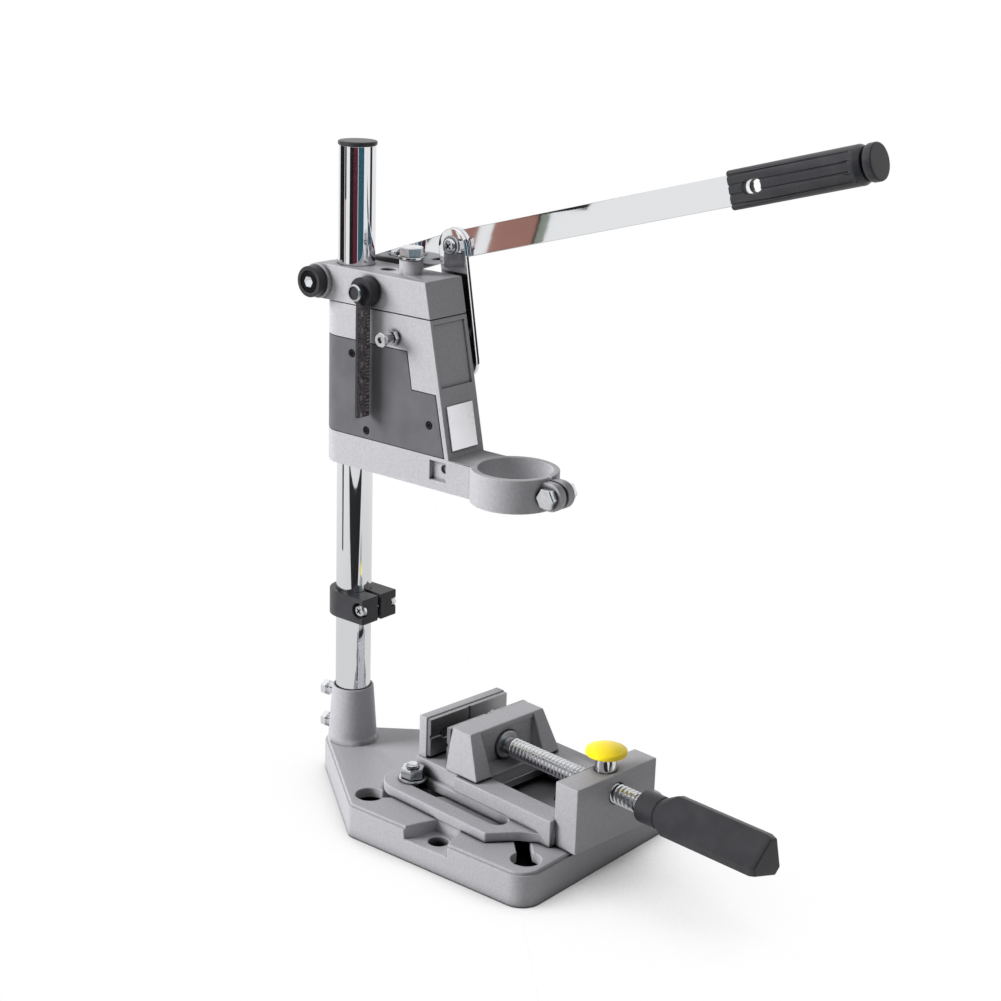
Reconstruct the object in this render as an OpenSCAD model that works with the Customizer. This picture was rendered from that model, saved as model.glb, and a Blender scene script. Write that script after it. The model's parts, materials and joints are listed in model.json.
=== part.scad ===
// Drill stand with a sprung carriage on a column, a side lever and a quick-release vice.
// Origin: the drill axis on the underside of the base. X to the lever side, Y to the column, Z up.

/* [Column] */
// Diameter of the chrome column
column_d = 22; // [18:0.5:26]
// Wall of the column tube
column_wall = 2; // [1:0.25:4]
// Height of the column tube's top end above the bench
column_top = 396.5; // [370:0.5:460]
// Distance from the drill axis to the column axis
reach = 125.5; // [115:0.5:160]
// Flange thickness of the column's end cap
cap_t = 2.5; // [1.5:0.5:5]
// How far the end cap stands out round the tube
cap_lip = 0.6; // [0.3:0.1:2]

/* [Base] */
// Half width of the base
base_half = 71.3; // [68:0.1:90]
// Front edge of the base, in front of the drill axis
base_front = 74.5; // [72:0.5:95]
// Height of the base plate's top face
base_h = 21.4; // [18:0.1:30]
// Thickness of the plate over the hollow underside
plate_t = 6.5; // [5:0.5:9]
// Thickness of the base's side walls
base_wall = 5; // [3:0.5:8]
// Radius of the front corners
front_r = 13; // [8:1:20]
// Where the straight sides end and the plate narrows to the column
waist_y = 58; // [50:1:70]
// Radius of the corners at the narrowing
waist_r = 7; // [3:1:12]
// Height of the stepped bead round the top edge
bead_h = 1.8; // [1:0.1:3]
// Inset of the stepped bead
bead_in = 1.4; // [0.5:0.1:3]
// Height of the column socket's rim
socket_top = 58; // [45:1:80]
// Radius of the socket at its rim
socket_top_r = 13; // [12:0.1:16]
// Radius of the socket at the plate
socket_foot_r = 15.6; // [14:0.1:20]
// Inset of each keyhole from the plate's side edge
key_in = 18; // [15.3:0.1:21.3]
// Distance of each keyhole from the drill axis, along
key_y = 60; // [56:0.5:61]
// Radius of the keyhole's round end
key_r = 8.7; // [8:0.1:10]
// Width of the slots for the vice bolts
slot_w = 9; // [8.6:0.1:10]
// Length of each diagonal slot from its keyhole
slot_len = 46; // [38:1:50]
// Inset of the bench bolt holes from the plate's side edge
bench_in = 12.15; // [9.35:0.05:14.3]
// Radius of the bench bolt holes
bench_r = 6; // [3:0.1:6.5]
// Depth of the side pocket round each bench bolt hole
pocket_depth = 8; // [4:0.5:10]
// Half length of the side pocket at the outer edge
pocket_half = 17; // [12:1:20]
// Share of that length that is left at the pocket's back wall
pocket_back_share = 0.56; // [0.5:0.02:0.9]
// Depth of the side pocket in from the plate's side edge
pocket_in = 21.3; // [19.3:0.1:25.3]

/* [Head] */
// Height of the head's lower face, where the carriage parts from it
head_z = 306; // [300:1:320]
// Height of the head block
head_h = 21; // [18:0.5:26]
// Half width of the head and carriage
body_half = 16; // [15:0.5:19]
// Slope of the front face from upright
front_tilt = 11.5; // [5:0.5:15]
// Where the front face meets the arm's top, from the drill axis
front_foot_y = 36.5; // [33:0.5:42]
// Distance of the fulcrum behind the column axis
fulcrum_back = 15.5; // [15:0.5:20]
// Radius of the fulcrum bolt's shank
fulcrum_r = 4; // [3:0.25:5]
// Radius of the ring round the fulcrum bolt's head
ring_r = 9.3; // [8:0.1:10]
// How far the fulcrum boss stands out of the head's side
fulcrum_boss_out = 2.4; // [1:0.2:5]
// Width of the clamping slit at the back of the head
clamp_slit = 2.4; // [1.5:0.1:4]
// Distance of the guide rod from the drill axis
rod_y = 82; // [80:0.5:85]
// Radius of the guide rod
rod_r = 4; // [3:0.25:4.5]
// Radius of the cast boss under the rod's head
rod_boss_r = 7; // [6:0.25:8]
// Height of that boss
rod_boss_h = 8.5; // [5:0.5:12]
// Radius of the blind hole in the head's top
top_hole_r = 4.6; // [3:0.1:5]

/* [Carriage] */
// Height of the arm's underside
arm_z = 206.7; // [200:0.1:215]
// Thickness of the arm and collar
arm_h = 20; // [16:0.5:21]
// Radius of the tool collar's bore
collar_r = 21.5; // [20:0.5:22.5]
// Wall of the tool collar
collar_wall = 4.2; // [3:0.1:6]
// Height of the collar above the arm's underside
collar_h = 19.8; // [15:0.1:20]
// Stroke of the carriage
stroke = 60; // [40:1:62]
// Thickness of the side covers
cover_t = 1.8; // [1.4:0.1:2.4]
// Height of the covers' upper edge
cover_top = 285; // [282:0.5:288]
// Height of the step in the covers' front part
cover_step_z = 263; // [258:0.5:268]
// Where the covers' high part ends, from the drill axis
cover_step_y = 70; // [68:0.5:74]
// Clearance of the moving carriage on the column
slide_gap = 0.1; // [0.08:0.01:0.15]
// Thickness of the guide bushes
bush_t = 1; // [0.8:0.1:1.2]
// Length of each guide bush
bush_len = 15; // [10:1:18]

/* [Lever] */
// Upward angle of the lever's bar at rest
lever_angle = 15.9; // [12:0.1:20]
// Width of the lever's bar
bar_w = 16.4; // [14:0.2:17]
// Thickness of the lever's bar
bar_t = 4; // [3:0.25:5]
// Distance of the lever pivot from the drill axis
pivot_y = 68.5; // [66:0.5:70]
// Height of the lever pivot
pivot_z = 342.6; // [341:0.2:344]
// Radius of the lever pivot's screw
pivot_r = 3; // [2.5:0.25:3.25]
// Distance from the pivot to the grip
grip_from = 194.6; // [150:0.2:220]
// Length of the grip without its end cap
grip_len = 79; // [70:0.5:110]
// Height of the grip's section
grip_h = 20.7; // [19:0.1:26]
// Thickness of the grip's flat end
grip_t = 11; // [9:0.5:14]
// Radius of the ends of the hanging slot in the grip
hang_r = 4; // [3:0.1:5]

/* [Stop ring] */
// Height of the stop ring's underside
stop_z = 106.7; // [104:0.1:125]
// Height of the stop ring
stop_h = 16.4; // [12:0.2:18]
// Radius of the stop ring's round back
stop_r = 15; // [14.5:0.1:18]
// Distance from the column axis to the front of the ears
stop_front = 22; // [20:0.5:26]
// Width of the slit between the ears
stop_slit = 2.6; // [1.5:0.1:4]

/* [Depth scale] */
// Distance of the scale's hub in front of the column axis
hub_front = 26; // [25:0.5:28]
// Radius of the scale's hub
hub_r = 8.4; // [7:0.1:9]
// Length of the scale's hub
hub_len = 8; // [6:0.2:10]
// Width of the scale's strip
strip_w = 10.5; // [8:0.5:11]
// Thickness of the scale's strip
strip_t = 2; // [1.5:0.1:3]
// Height of the strip's lower end
strip_foot = 242; // [235:1:250]

/* [Vice] */
// Turn of the vice on the base as it is bolted down
vice_turn = -5.5; // [-7:0.5:-4]
// Middle of the vice's front face, across
vice_x = 1.7; // [1:0.1:2.5]
// Middle of the vice's front face, along
vice_y = -81.4; // [-83:0.1:-80]
// Half width of the front block
block_half = 33.7; // [30:0.1:35]
// Thickness of the front block
block_t = 17; // [16.4:0.2:20]
// Height of the front block above the base
block_h = 40; // [38:0.5:44]
// Height of the rails above the base
rail_h = 16.4; // [15:0.2:18]
// Half width over the rails
rail_half = 38; // [36:0.5:38.5]
// Half width of the gap between the rails
gap_half = 22.5; // [21:0.5:24]
// Height of the jaws above the base
jaw_h = 42.8; // [41:0.2:48]
// Half width of the jaws
jaw_half = 33; // [30:0.5:35]
// Distance from the front face to the fixed jaw's plate
fixed_y = 121.8; // [118:0.2:126]
// Thickness of the fixed jaw behind its plate
fixed_t = 6.6; // [5:0.2:10]
// Thickness of the steel jaw plates
jaw_plate_t = 3; // [2:0.25:3.5]
// Open width between the jaw plates at rest
jaw_gap = 14; // [8:0.5:14]
// Thickness of the slotted flanges
flange_h = 6.2; // [5:0.2:8]
// Distance of the flange slots from the vice's centre line
flange_x = 43.6; // [43:0.1:46]
// Width of the flange slots
flange_slot_w = 12.4; // [10.4:0.2:13]
// Radius of the lead screw
screw_r = 6; // [5:0.25:6.25]
// Height of the lead screw's axis above the base
screw_h = 28; // [27:0.2:28.6]
// Radius of the release button
button_r = 12.2; // [10:0.2:14]
// Length of the vice handle's grip
handle_len = 75; // [60:1:100]
// Radius over the corners of the handle's grip
handle_r = 14.1; // [13:0.1:18]

/* [Hidden] */
$fn = 64;

casting_grey = [0.60, 0.60, 0.61];
dark_grey = [0.27, 0.27, 0.28];
black = [0.07, 0.07, 0.08];
chrome = [0.82, 0.82, 0.84];
steel = [0.66, 0.66, 0.67];
yellow = [0.98, 0.85, 0.05];

// How far every cut runs past the face it opens
over = 1;
// Clearance round pieces that are bolted or pressed together
fit = 0.05;
// Clearance between faces that pass each other
run = 0.2;
// Clearance of the carriage's upper face under the head
part_gap = 0.3;

// Places that follow from the sizes above
column_r = column_d / 2;
head_top = head_z + head_h;
arm_top = arm_z + arm_h;
carriage_top = head_z - part_gap;
fulcrum_y = reach + fulcrum_back;
fulcrum_z = head_z + head_h / 2;
screw_z = base_h + screw_h;
bore_r = column_r + slide_gap + bush_t + fit;
inner_half = body_half - cover_t;
pull_t = 3;
pull_stand = 3.4;
pull_x = body_half + pull_stand;
lever_x = pull_x + pull_t + run;
lever_out = lever_x + bar_t;

function front_y(z) = front_foot_y + (z - arm_top) * tan(front_tilt);
function hex_r(flats) = flats / 2 / cos(30);

// Stands a flat outline, drawn in Y and Z, upright from x0 on
module upright(x0, t) { translate([x0, 0, 0]) rotate([90, 0, 90]) linear_extrude(t) children(); }
// A cylinder along X from x0 on
module across(x0, len, r, y, z) { translate([x0, y, z]) rotate([0, 90, 0]) cylinder(h = len, r = r); }
// A cylinder along Y from y0 on
module along(y0, len, r, x, z) { translate([x, y0, z]) rotate([-90, 0, 0]) cylinder(h = len, r = r); }
// A hexagonal prism along X, Y or Z
module hex_across(x0, len, flats, y, z) {
    translate([x0, y, z]) rotate([0, 90, 0]) cylinder(h = len, r = hex_r(flats), $fn = 6);
}
module hex_along(y0, len, flats, x, z) {
    translate([x, y0, z]) rotate([-90, 0, 0]) cylinder(h = len, r = hex_r(flats), $fn = 6);
}
module hex_up(len, flats) { cylinder(h = len, r = hex_r(flats), $fn = 6); }
// The vice's own frame, with its front face at Y 0
module in_vice() { translate([vice_x, vice_y, 0]) rotate([0, 0, vice_turn]) children(); }
// The lever's own frame, with the bar running to -Y from the pivot
module on_lever() { translate([0, pivot_y, pivot_z]) rotate([-lever_angle, 0, 0]) children(); }
// The front face's own frame at height z, with Z up the slope
module on_front(z) { translate([0, front_y(z), z]) rotate([-front_tilt, 0, 0]) children(); }

// ---- Base ----

tail_r = 17.4;
rib_t = 4;
socket_floor = 4;
set_r = 3;
set_flats = 9;
set_head = 4;
set_out = 24.5;
set_above = 5.6;
set_below = 9;
set_end = reach + set_out;
set_heights = [base_h + set_above, socket_top - set_below];
slot_turn = 45;
lug_wall = 5;
key_x = base_half - key_in;
bench_x = base_half - bench_in;
pocket_back_x = base_half - pocket_in;

// Where the vice is bolted down, near the rear end of its left flange slot
flange_end_y = fixed_y + jaw_plate_t;
bolt_x = vice_x - flange_x * cos(vice_turn) - flange_end_y * sin(vice_turn);
bolt_y = vice_y - flange_x * sin(vice_turn) + flange_end_y * cos(vice_turn);

module base_outline(inset) {
    hull() {
        for (s = [-1, 1]) {
            translate([s * (base_half - front_r), front_r - base_front])
                circle(r = front_r - inset, $fn = 32);
            translate([s * (base_half - waist_r), waist_y]) circle(r = waist_r - inset, $fn = 32);
        }
        translate([0, reach]) circle(r = tail_r - inset, $fn = 32);
    }
}

// The part of each side pocket that lies over the bench bolt hole
module pocket_outline(grow) {
    back = pocket_half * pocket_back_share;
    polygon([[pocket_back_x - grow, -back - grow], [base_half + over, -pocket_half - grow],
        [base_half + over, pocket_half + grow], [pocket_back_x - grow, back + grow]]);
}

module vice_slots() {
    for (sx = [-1, 1], sy = [-1, 1])
        translate([sx * key_x, sy * key_y, -over]) {
            cylinder(h = base_h + 2 * over, r = key_r);
            rotate([0, 0, atan2(-sy, -sx)]) {
                translate([0, -slot_w / 2, 0]) cube([slot_len, slot_w, base_h + 2 * over]);
                translate([slot_len, 0, 0]) cylinder(h = base_h + 2 * over, r = slot_w / 2);
            }
        }
    // A short branch leads from the rear left slot to the vice bolt
    branch_y = key_y - (key_x + bolt_x) * tan(slot_turn);
    translate([bolt_x - slot_w / 2, branch_y, -over]) cube([slot_w, bolt_y - branch_y, base_h + 2 * over]);
    translate([bolt_x, bolt_y, -over]) cylinder(h = base_h + 2 * over, r = slot_w / 2);
}

module base_hollow() {
    under = base_h - plate_t;
    difference() {
        translate([0, 0, -over]) linear_extrude(under + over) base_outline(base_wall);
        translate([0, reach, -over]) cylinder(h = under + 2 * over, r = socket_foot_r);
        translate([-rib_t / 2, -base_front, -over]) cube([rib_t, base_front + reach, under + 2 * over]);
        translate([-base_half, -rib_t / 2, -over]) cube([2 * base_half, rib_t, under + 2 * over]);
        for (s = [0, 1]) mirror([s, 0, 0])
            translate([0, 0, -over]) linear_extrude(under + 2 * over) pocket_outline(lug_wall);
    }
}

module base_plate() {
    color(casting_grey) difference() {
        union() {
            linear_extrude(base_h - bead_h) base_outline(0);
            linear_extrude(base_h) base_outline(bead_in);
            translate([0, reach, base_h])
                cylinder(h = socket_top - base_h, r1 = socket_foot_r, r2 = socket_top_r);
        }
        base_hollow();
        translate([0, reach, socket_floor]) cylinder(h = socket_top, r = column_r + fit);
        vice_slots();
        for (s = [0, 1]) mirror([s, 0, 0]) {
            translate([bench_x, 0, -over]) cylinder(h = base_h, r = bench_r);
            translate([0, 0, base_h - pocket_depth]) linear_extrude(base_h) pocket_outline(0);
        }
        for (z = set_heights) along(reach + column_r - over, tail_r, set_r + fit, 0, z);
    }
}

module column() {
    color(chrome) translate([0, reach, socket_floor]) difference() {
        cylinder(h = column_top - socket_floor, r = column_r);
        translate([0, 0, -over]) cylinder(h = column_top + over, r = column_r - column_wall);
    }
}

cap_plug = 9;
module column_cap() {
    color(black) translate([0, reach, column_top]) {
        cylinder(h = cap_t, r = column_r + cap_lip);
        translate([0, 0, -cap_plug]) cylinder(h = cap_plug, r = column_r - column_wall - fit);
    }
}

module column_screws() {
    color(chrome) for (z = set_heights) {
        along(reach + column_r, set_end - set_head - reach - column_r, set_r, 0, z);
        hex_along(set_end - set_head, set_head, set_flats, 0, z);
    }
}

bolt_r = 4;
bolt_flats = 13;
bolt_head = 5;
bolt_past = 2.5;
washer_t = 1.6;
washer_r = 8.5;
nut_h = 6.4;
flange_top = base_h + flange_h;
module vice_bolt() {
    under = base_h - plate_t;
    color(chrome) translate([bolt_x, bolt_y, under - bolt_head]) {
        hex_up(bolt_head, bolt_flats);
        cylinder(h = bolt_head + flange_top - under + washer_t + nut_h + bolt_past, r = bolt_r);
    }
}
module vice_washer() {
    color(chrome) translate([bolt_x, bolt_y, flange_top]) difference() {
        cylinder(h = washer_t, r = washer_r);
        translate([0, 0, -over]) cylinder(h = washer_t + 2 * over, r = bolt_r + fit);
    }
}
module vice_nut() {
    color(chrome) translate([bolt_x, bolt_y, flange_top + washer_t]) difference() {
        hex_up(nut_h, bolt_flats);
        translate([0, 0, -over]) cylinder(h = nut_h + 2 * over, r = bolt_r + fit);
    }
}

// ---- Head ----

top_hole_depth = 8;
knob_shank_r = 3;
knob_hole_depth = 9;
hub_y = reach - hub_front;
rod_head_z = head_top + rod_boss_h;
boss_r = head_h / 2;
fulcrum_gap = 0.15;
boss_face = -body_half - fulcrum_boss_out;
module head_block() {
    lever_boss = lever_x - run - body_half;
    color(casting_grey) difference() {
        union() {
            upright(-body_half, 2 * body_half) polygon([[front_y(head_z), head_z], [fulcrum_y, head_z],
                [fulcrum_y, head_top], [front_y(head_top), head_top]]);
            across(boss_face, body_half - boss_face, boss_r, fulcrum_y, fulcrum_z);
            across(body_half - over, lever_boss + over, ring_r, fulcrum_y, fulcrum_z);
            translate([0, rod_y, head_top]) cylinder(h = rod_boss_h, r = rod_boss_r);
        }
        translate([0, reach, head_z - over]) cylinder(h = head_h + 2 * over, r = column_r + slide_gap);
        translate([-clamp_slit / 2, reach, head_z - over])
            cube([clamp_slit, fulcrum_back + boss_r + over, head_h + 2 * over]);
        across(boss_face - over, body_half - boss_face + lever_boss + 2 * over, fulcrum_r + fit,
            fulcrum_y, fulcrum_z);
        translate([0, hub_y, head_top - top_hole_depth]) cylinder(h = top_hole_depth + over, r = top_hole_r);
        translate([0, rod_y, head_z - over]) cylinder(h = head_h + rod_boss_h + 2 * over, r = rod_r + fit);
        across(-body_half - over, knob_hole_depth + over, knob_shank_r + slide_gap, hub_y, fulcrum_z);
    }
}

ring_t = 6.4;
ring_bore_r = 6.6;
ring_floor = 1.4;
socket_r = 6.2;
socket_flats = 6;
socket_deep = 2.6;
fulcrum_past = 1.5;
fulcrum_flats = 13;
fulcrum_nut_h = 6;
module fulcrum_bolt() {
    head_x = boss_face - ring_floor;
    shank = lever_out + run + washer_t + fulcrum_nut_h + fulcrum_past - head_x;
    color(chrome) difference() {
        union() {
            across(head_x - ring_t + ring_floor + fit, ring_t - ring_floor - fit, socket_r,
                fulcrum_y, fulcrum_z);
            across(head_x, shank, fulcrum_r, fulcrum_y, fulcrum_z);
        }
        hex_across(head_x - ring_t, ring_t - ring_floor - socket_deep + ring_floor, socket_flats,
            fulcrum_y, fulcrum_z);
    }
}
module fulcrum_ring() {
    color(black) difference() {
        across(boss_face - ring_t, ring_t, ring_r, fulcrum_y, fulcrum_z);
        across(boss_face - ring_t - over, ring_t - ring_floor + over, ring_bore_r, fulcrum_y, fulcrum_z);
        across(boss_face - ring_t, ring_t + over, fulcrum_r + fit, fulcrum_y, fulcrum_z);
    }
}
module fulcrum_washer() {
    color(chrome) difference() {
        across(lever_out + run, washer_t, washer_r, fulcrum_y, fulcrum_z);
        across(lever_out, washer_t + over, fulcrum_r + fit, fulcrum_y, fulcrum_z);
    }
}
module fulcrum_nut() {
    color(chrome) difference() {
        hex_across(lever_out + run + washer_t, fulcrum_nut_h, fulcrum_flats, fulcrum_y, fulcrum_z);
        across(lever_out, fulcrum_nut_h + washer_t + over, fulcrum_r + fit, fulcrum_y, fulcrum_z);
    }
}

rod_head_flats = 12.4;
rod_head_h = 5.5;
rod_washer_r = 7.6;
rod_nut_flats = 12.4;
rod_nut_h = 4.2;
rod_past = 0.6;
seat_r = 8;
seat_t = 1.4;
pocket_floor = 3;
spring_room_r = 9;
spring_roof = 8.5;
rod_foot = arm_z + pocket_floor + rod_past;
seat_top = rod_foot + rod_past + rod_nut_h + seat_t;
spring_end = carriage_top - spring_roof;
module guide_rod() {
    color(chrome) {
        translate([0, rod_y, rod_foot]) cylinder(h = rod_head_z + washer_t - rod_foot + over, r = rod_r);
        translate([0, rod_y, rod_head_z + washer_t]) hex_up(rod_head_h, rod_head_flats);
    }
}
module rod_washer() {
    color(chrome) translate([0, rod_y, rod_head_z]) difference() {
        cylinder(h = washer_t, r = rod_washer_r);
        translate([0, 0, -over]) cylinder(h = washer_t + 2 * over, r = rod_r + fit);
    }
}
module rod_nut() {
    color(steel) translate([0, rod_y, rod_foot + rod_past]) difference() {
        hex_up(rod_nut_h, rod_nut_flats);
        translate([0, 0, -over]) cylinder(h = rod_nut_h + 2 * over, r = rod_r + fit);
    }
}
module spring_seat() {
    color(steel) translate([0, rod_y, seat_top - seat_t]) difference() {
        cylinder(h = seat_t, r = seat_r);
        translate([0, 0, -over]) cylinder(h = seat_t + 2 * over, r = rod_r + fit);
    }
}

// A coil spring from z0 to z1 as one tube of quads round a helix
module coil(z0, z1, coil_r, wire_r, turns, per_turn, sides) {
    steps = turns * per_turn;
    rise = (z1 - z0 - 2 * wire_r) / steps;
    points = [for (i = [0 : steps], k = [0 : sides - 1])
        let (a = 360 * i / per_turn, b = 360 * k / sides, r = coil_r + wire_r * cos(b))
        [r * cos(a), r * sin(a), z0 + wire_r + rise * i + wire_r * sin(b)]];
    walls = [for (i = [0 : steps - 1], k = [0 : sides - 1])
        let (m = (k + 1) % sides) [i * sides + k, i * sides + m, (i + 1) * sides + m, (i + 1) * sides + k]];
    first = [for (k = [0 : sides - 1]) sides - 1 - k];
    last = [for (k = [0 : sides - 1]) steps * sides + k];
    polyhedron(points, concat([first], walls, [last]), convexity = turns);
}

return_turns = 12;
// The wire is as thick as the closed spring leaves room for over the whole stroke
return_wire_share = 0.86;
return_wire_r = (spring_end - seat_top - stroke) / 2 / return_turns * return_wire_share;
return_coil_r = 6.6;
module return_spring() {
    color(steel) translate([0, rod_y, 0])
        coil(seat_top, spring_end, return_coil_r, return_wire_r, return_turns, 12, 6);
}

strip_back = 0.2;
strip_out = 12;
hub_gap = 0.2;
hub_x = -body_half - hub_gap;
knob_r = 5;
knob_t = 5.3;
knob_dish_r = 3.8;
knob_dish = 0.8;
module depth_scale() {
    color(black) difference() {
        union() {
            across(hub_x - hub_len, hub_len, hub_r, hub_y, fulcrum_z);
            translate([hub_x - strip_out, hub_y - strip_back - strip_t, strip_foot])
                cube([strip_w, strip_t, fulcrum_z - strip_foot]);
        }
        across(hub_x - hub_len - over, hub_len + 2 * over, knob_shank_r + slide_gap, hub_y, fulcrum_z);
        across(hub_x - strip_out - over, strip_out - hub_len + over, knob_r + 2 * run, hub_y, fulcrum_z);
    }
}
module scale_knob() {
    color(black) difference() {
        union() {
            across(hub_x - hub_len - hub_gap - knob_t, knob_t, knob_r, hub_y, fulcrum_z);
            across(hub_x - hub_len - hub_gap, hub_len + hub_gap + knob_hole_depth - over, knob_shank_r,
                hub_y, fulcrum_z);
        }
        across(hub_x - hub_len - hub_gap - knob_t - over, knob_dish + over, knob_dish_r, hub_y, fulcrum_z);
    }
}

// ---- Carriage ----

cover_margin = 3.6;
cover_gap = 0.15;
cover_foot = 0.1;
cover_slant = 4;
chamber_front = 61;
chamber_behind = 18.5;
chamber_rear = reach - chamber_behind;
chamber_low = 238;
chamber_high = 280;
chamber_step = 257;
chamber_step_y = 75;
ear_y = 30.5;
ear_r = 8.2;
ear_t = 5.3;
ear_slit = 2.5;
ear_z = arm_z + arm_h / 2;
collar_bolt_r = 3.5;
rod_bore_gap = 0.2;
side_pocket = [38.6, 50.9];
side_pocket_z = [212.6, 224];
side_pocket_deep = 3;
side_hole = [41.8, 219.5];
side_hole_r = 2.5;
side_hole_deep = 4.6;
core_y = [32, 68];
core_half = 10.4;
core_h = 14;
face_low = 267;
face_high = 303;
face_half = 13.5;
face_deep = 1.5;
pin_r = 3.3;
pin_shank_r = 2.5;
pin_head_r = 4.3;
pin_head_t = 2.2;
pin_flats = 8;
pin_nut_t = 3.4;
pin_ahead = 46;
pin_y = reach - pin_ahead;
pin_z = 292;
pin_end = 28.6;
pin_deep = 5.5;
plate_screw_at = [[56.8, 274], [59.8, 292]];
plate_screw_r = 2.2;
plate_screw_deep = 9;
pad_r = 5.5;
side_ahead = [24.1, 11.9];
side_front_y = 51.9;
side_up = [5, 17.8];
side_down = 8.4;
side_screws = [[reach - side_ahead[0], arm_top + side_up[0]], [side_front_y, arm_top + side_up[1]],
    [reach - side_ahead[1], cover_top - side_down]];
side_screw_r = 1.3;
side_head_r = 2.3;
side_head_t = 1.2;
side_screw_deep = 5.5;

module body_plan(half) {
    translate([0, reach]) circle(r = half);
    translate([-half, 0]) square([2 * half, reach]);
}

// The side view of the covers, in Y and Z
module cover_side(grow) {
    low = arm_top + cover_foot - grow;
    step = cover_step_z + grow;
    rear = reach + body_half + over;
    polygon([[front_y(low) + cover_margin - grow, low], [front_y(step) + cover_margin - grow, step],
        [cover_step_y - cover_slant - grow, step], [cover_step_y - grow, cover_top + grow],
        [rear, cover_top + grow], [rear, low]]);
}

// The layer round the casting that the covers fill
module cover_layer(grow) {
    intersection() {
        upright(-body_half - over, 2 * (body_half + over)) cover_side(grow);
        difference() {
            translate([0, 0, arm_z]) linear_extrude(carriage_top - arm_z)
                body_plan(body_half + (grow > 0 ? over : 0));
            translate([0, 0, arm_z - over]) linear_extrude(carriage_top - arm_z + 2 * over)
                body_plan(inner_half - grow);
        }
    }
}

module housing() {
    intersection() {
        upright(-body_half, 2 * body_half) polygon([[front_y(arm_z), arm_z], [reach + body_half, arm_z],
            [reach + body_half, carriage_top], [front_y(carriage_top), carriage_top]]);
        translate([0, 0, arm_z]) linear_extrude(carriage_top - arm_z) body_plan(body_half);
    }
}

module carriage_body() {
    color(casting_grey) difference() {
        union() {
            housing();
            translate([-body_half, 0, arm_z]) cube([2 * body_half, reach, arm_h]);
            translate([0, 0, arm_z]) cylinder(h = collar_h, r = collar_r + collar_wall);
            translate([-ear_t - ear_slit / 2, -ear_y, ear_z - ear_r])
                cube([2 * ear_t + ear_slit, ear_y - collar_r, 2 * ear_r]);
            across(-ear_t - ear_slit / 2, 2 * ear_t + ear_slit, ear_r, -ear_y, ear_z);
            for (p = plate_screw_at) across(body_half - over, pull_stand + over, pad_r, p[0], p[1]);
        }
        translate([0, 0, arm_z - over]) cylinder(h = arm_h + 2 * over, r = collar_r);
        translate([-ear_slit / 2, -ear_y - ear_r - over, arm_z - over])
            cube([ear_slit, ear_y + ear_r + over, arm_h + 2 * over]);
        across(-ear_t - ear_slit, 2 * (ear_t + ear_slit), collar_bolt_r + fit, -ear_y, ear_z);
        translate([0, reach, arm_z - over]) cylinder(h = carriage_top, r = bore_r);
        cover_layer(cover_gap);
        // The chamber between the covers, for the spring
        upright(-body_half - over, 2 * (body_half + over)) polygon([[chamber_front, chamber_low],
            [chamber_front, chamber_step], [chamber_step_y, chamber_step], [chamber_step_y, chamber_high],
            [chamber_rear, chamber_high], [chamber_rear, chamber_low]]);
        translate([0, rod_y, arm_z + pocket_floor]) {
            cylinder(h = spring_end - arm_z - pocket_floor, r = spring_room_r);
            cylinder(h = carriage_top, r = rod_r + rod_bore_gap);
        }
        // The pocket in the arm's side, and its hole
        translate([-body_half - over, side_pocket[0], side_pocket_z[0]]) cube([side_pocket_deep + over,
            side_pocket[1] - side_pocket[0], side_pocket_z[1] - side_pocket_z[0]]);
        across(-body_half, side_hole_deep, side_hole_r, side_hole[0], side_hole[1]);
        // The hollow under the arm
        translate([-core_half, core_y[0], arm_z - over])
            cube([2 * core_half, core_y[1] - core_y[0], core_h + over]);
        on_front(face_low) translate([-face_half, -over, 0])
            cube([2 * face_half, face_deep + over, (face_high - face_low) / cos(front_tilt)]);
        across(-body_half - over, pin_deep + over, pin_shank_r + fit, pin_y, pin_z);
        for (p = plate_screw_at)
            across(body_half - plate_screw_deep, 2 * plate_screw_deep, plate_screw_r + fit, p[0], p[1]);
        for (s = [0, 1], p = side_screws) mirror([s, 0, 0])
            across(inner_half - side_screw_deep, body_half, side_screw_r + fit, p[0], p[1]);
    }
}

module side_cover(s) {
    color(dark_grey) difference() {
        intersection() {
            cover_layer(0);
            mirror([s, 0, 0]) translate([0, 0, arm_z])
                cube([body_half + over, reach + body_half + over, carriage_top]);
        }
        mirror([s, 0, 0]) for (p = side_screws) {
            across(0, body_half + over, side_screw_r + fit, p[0], p[1]);
            across(body_half - side_head_t, side_head_t + over, side_head_r + fit, p[0], p[1]);
        }
    }
}
module left_cover() { side_cover(1); }
module right_cover() { side_cover(0); }

module cover_screws() {
    color(black) for (s = [0, 1], p = side_screws) mirror([s, 0, 0]) {
        across(inner_half - side_screw_deep + fit, side_screw_deep + cover_t - side_head_t, side_screw_r,
            p[0], p[1]);
        across(body_half - side_head_t, side_head_t, side_head_r, p[0], p[1]);
    }
}

module guide_bushes() {
    color(steel) for (z = [arm_z, carriage_top - bush_len]) translate([0, reach, z]) difference() {
        cylinder(h = bush_len, r = column_r + slide_gap + bush_t);
        translate([0, 0, -over]) cylinder(h = bush_len + 2 * over, r = column_r + slide_gap);
    }
}

label_w = 22.5;
label_h = 26;
label_t = 0.8;
label_low = 231;
label_x = -1;
module front_plate() {
    color([0.92, 0.92, 0.92]) on_front(label_low)
        translate([label_x - label_w / 2, -label_t, 0]) cube([label_w, label_t, label_h]);
}

module depth_pin() {
    color(chrome) {
        across(-pin_end, pin_head_t, pin_head_r, pin_y, pin_z);
        across(-pin_end, pin_end - body_half, pin_r, pin_y, pin_z);
        hex_across(-body_half - pin_nut_t, pin_nut_t, pin_flats, pin_y, pin_z);
        across(-body_half, pin_deep, pin_shank_r, pin_y, pin_z);
    }
}

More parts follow.
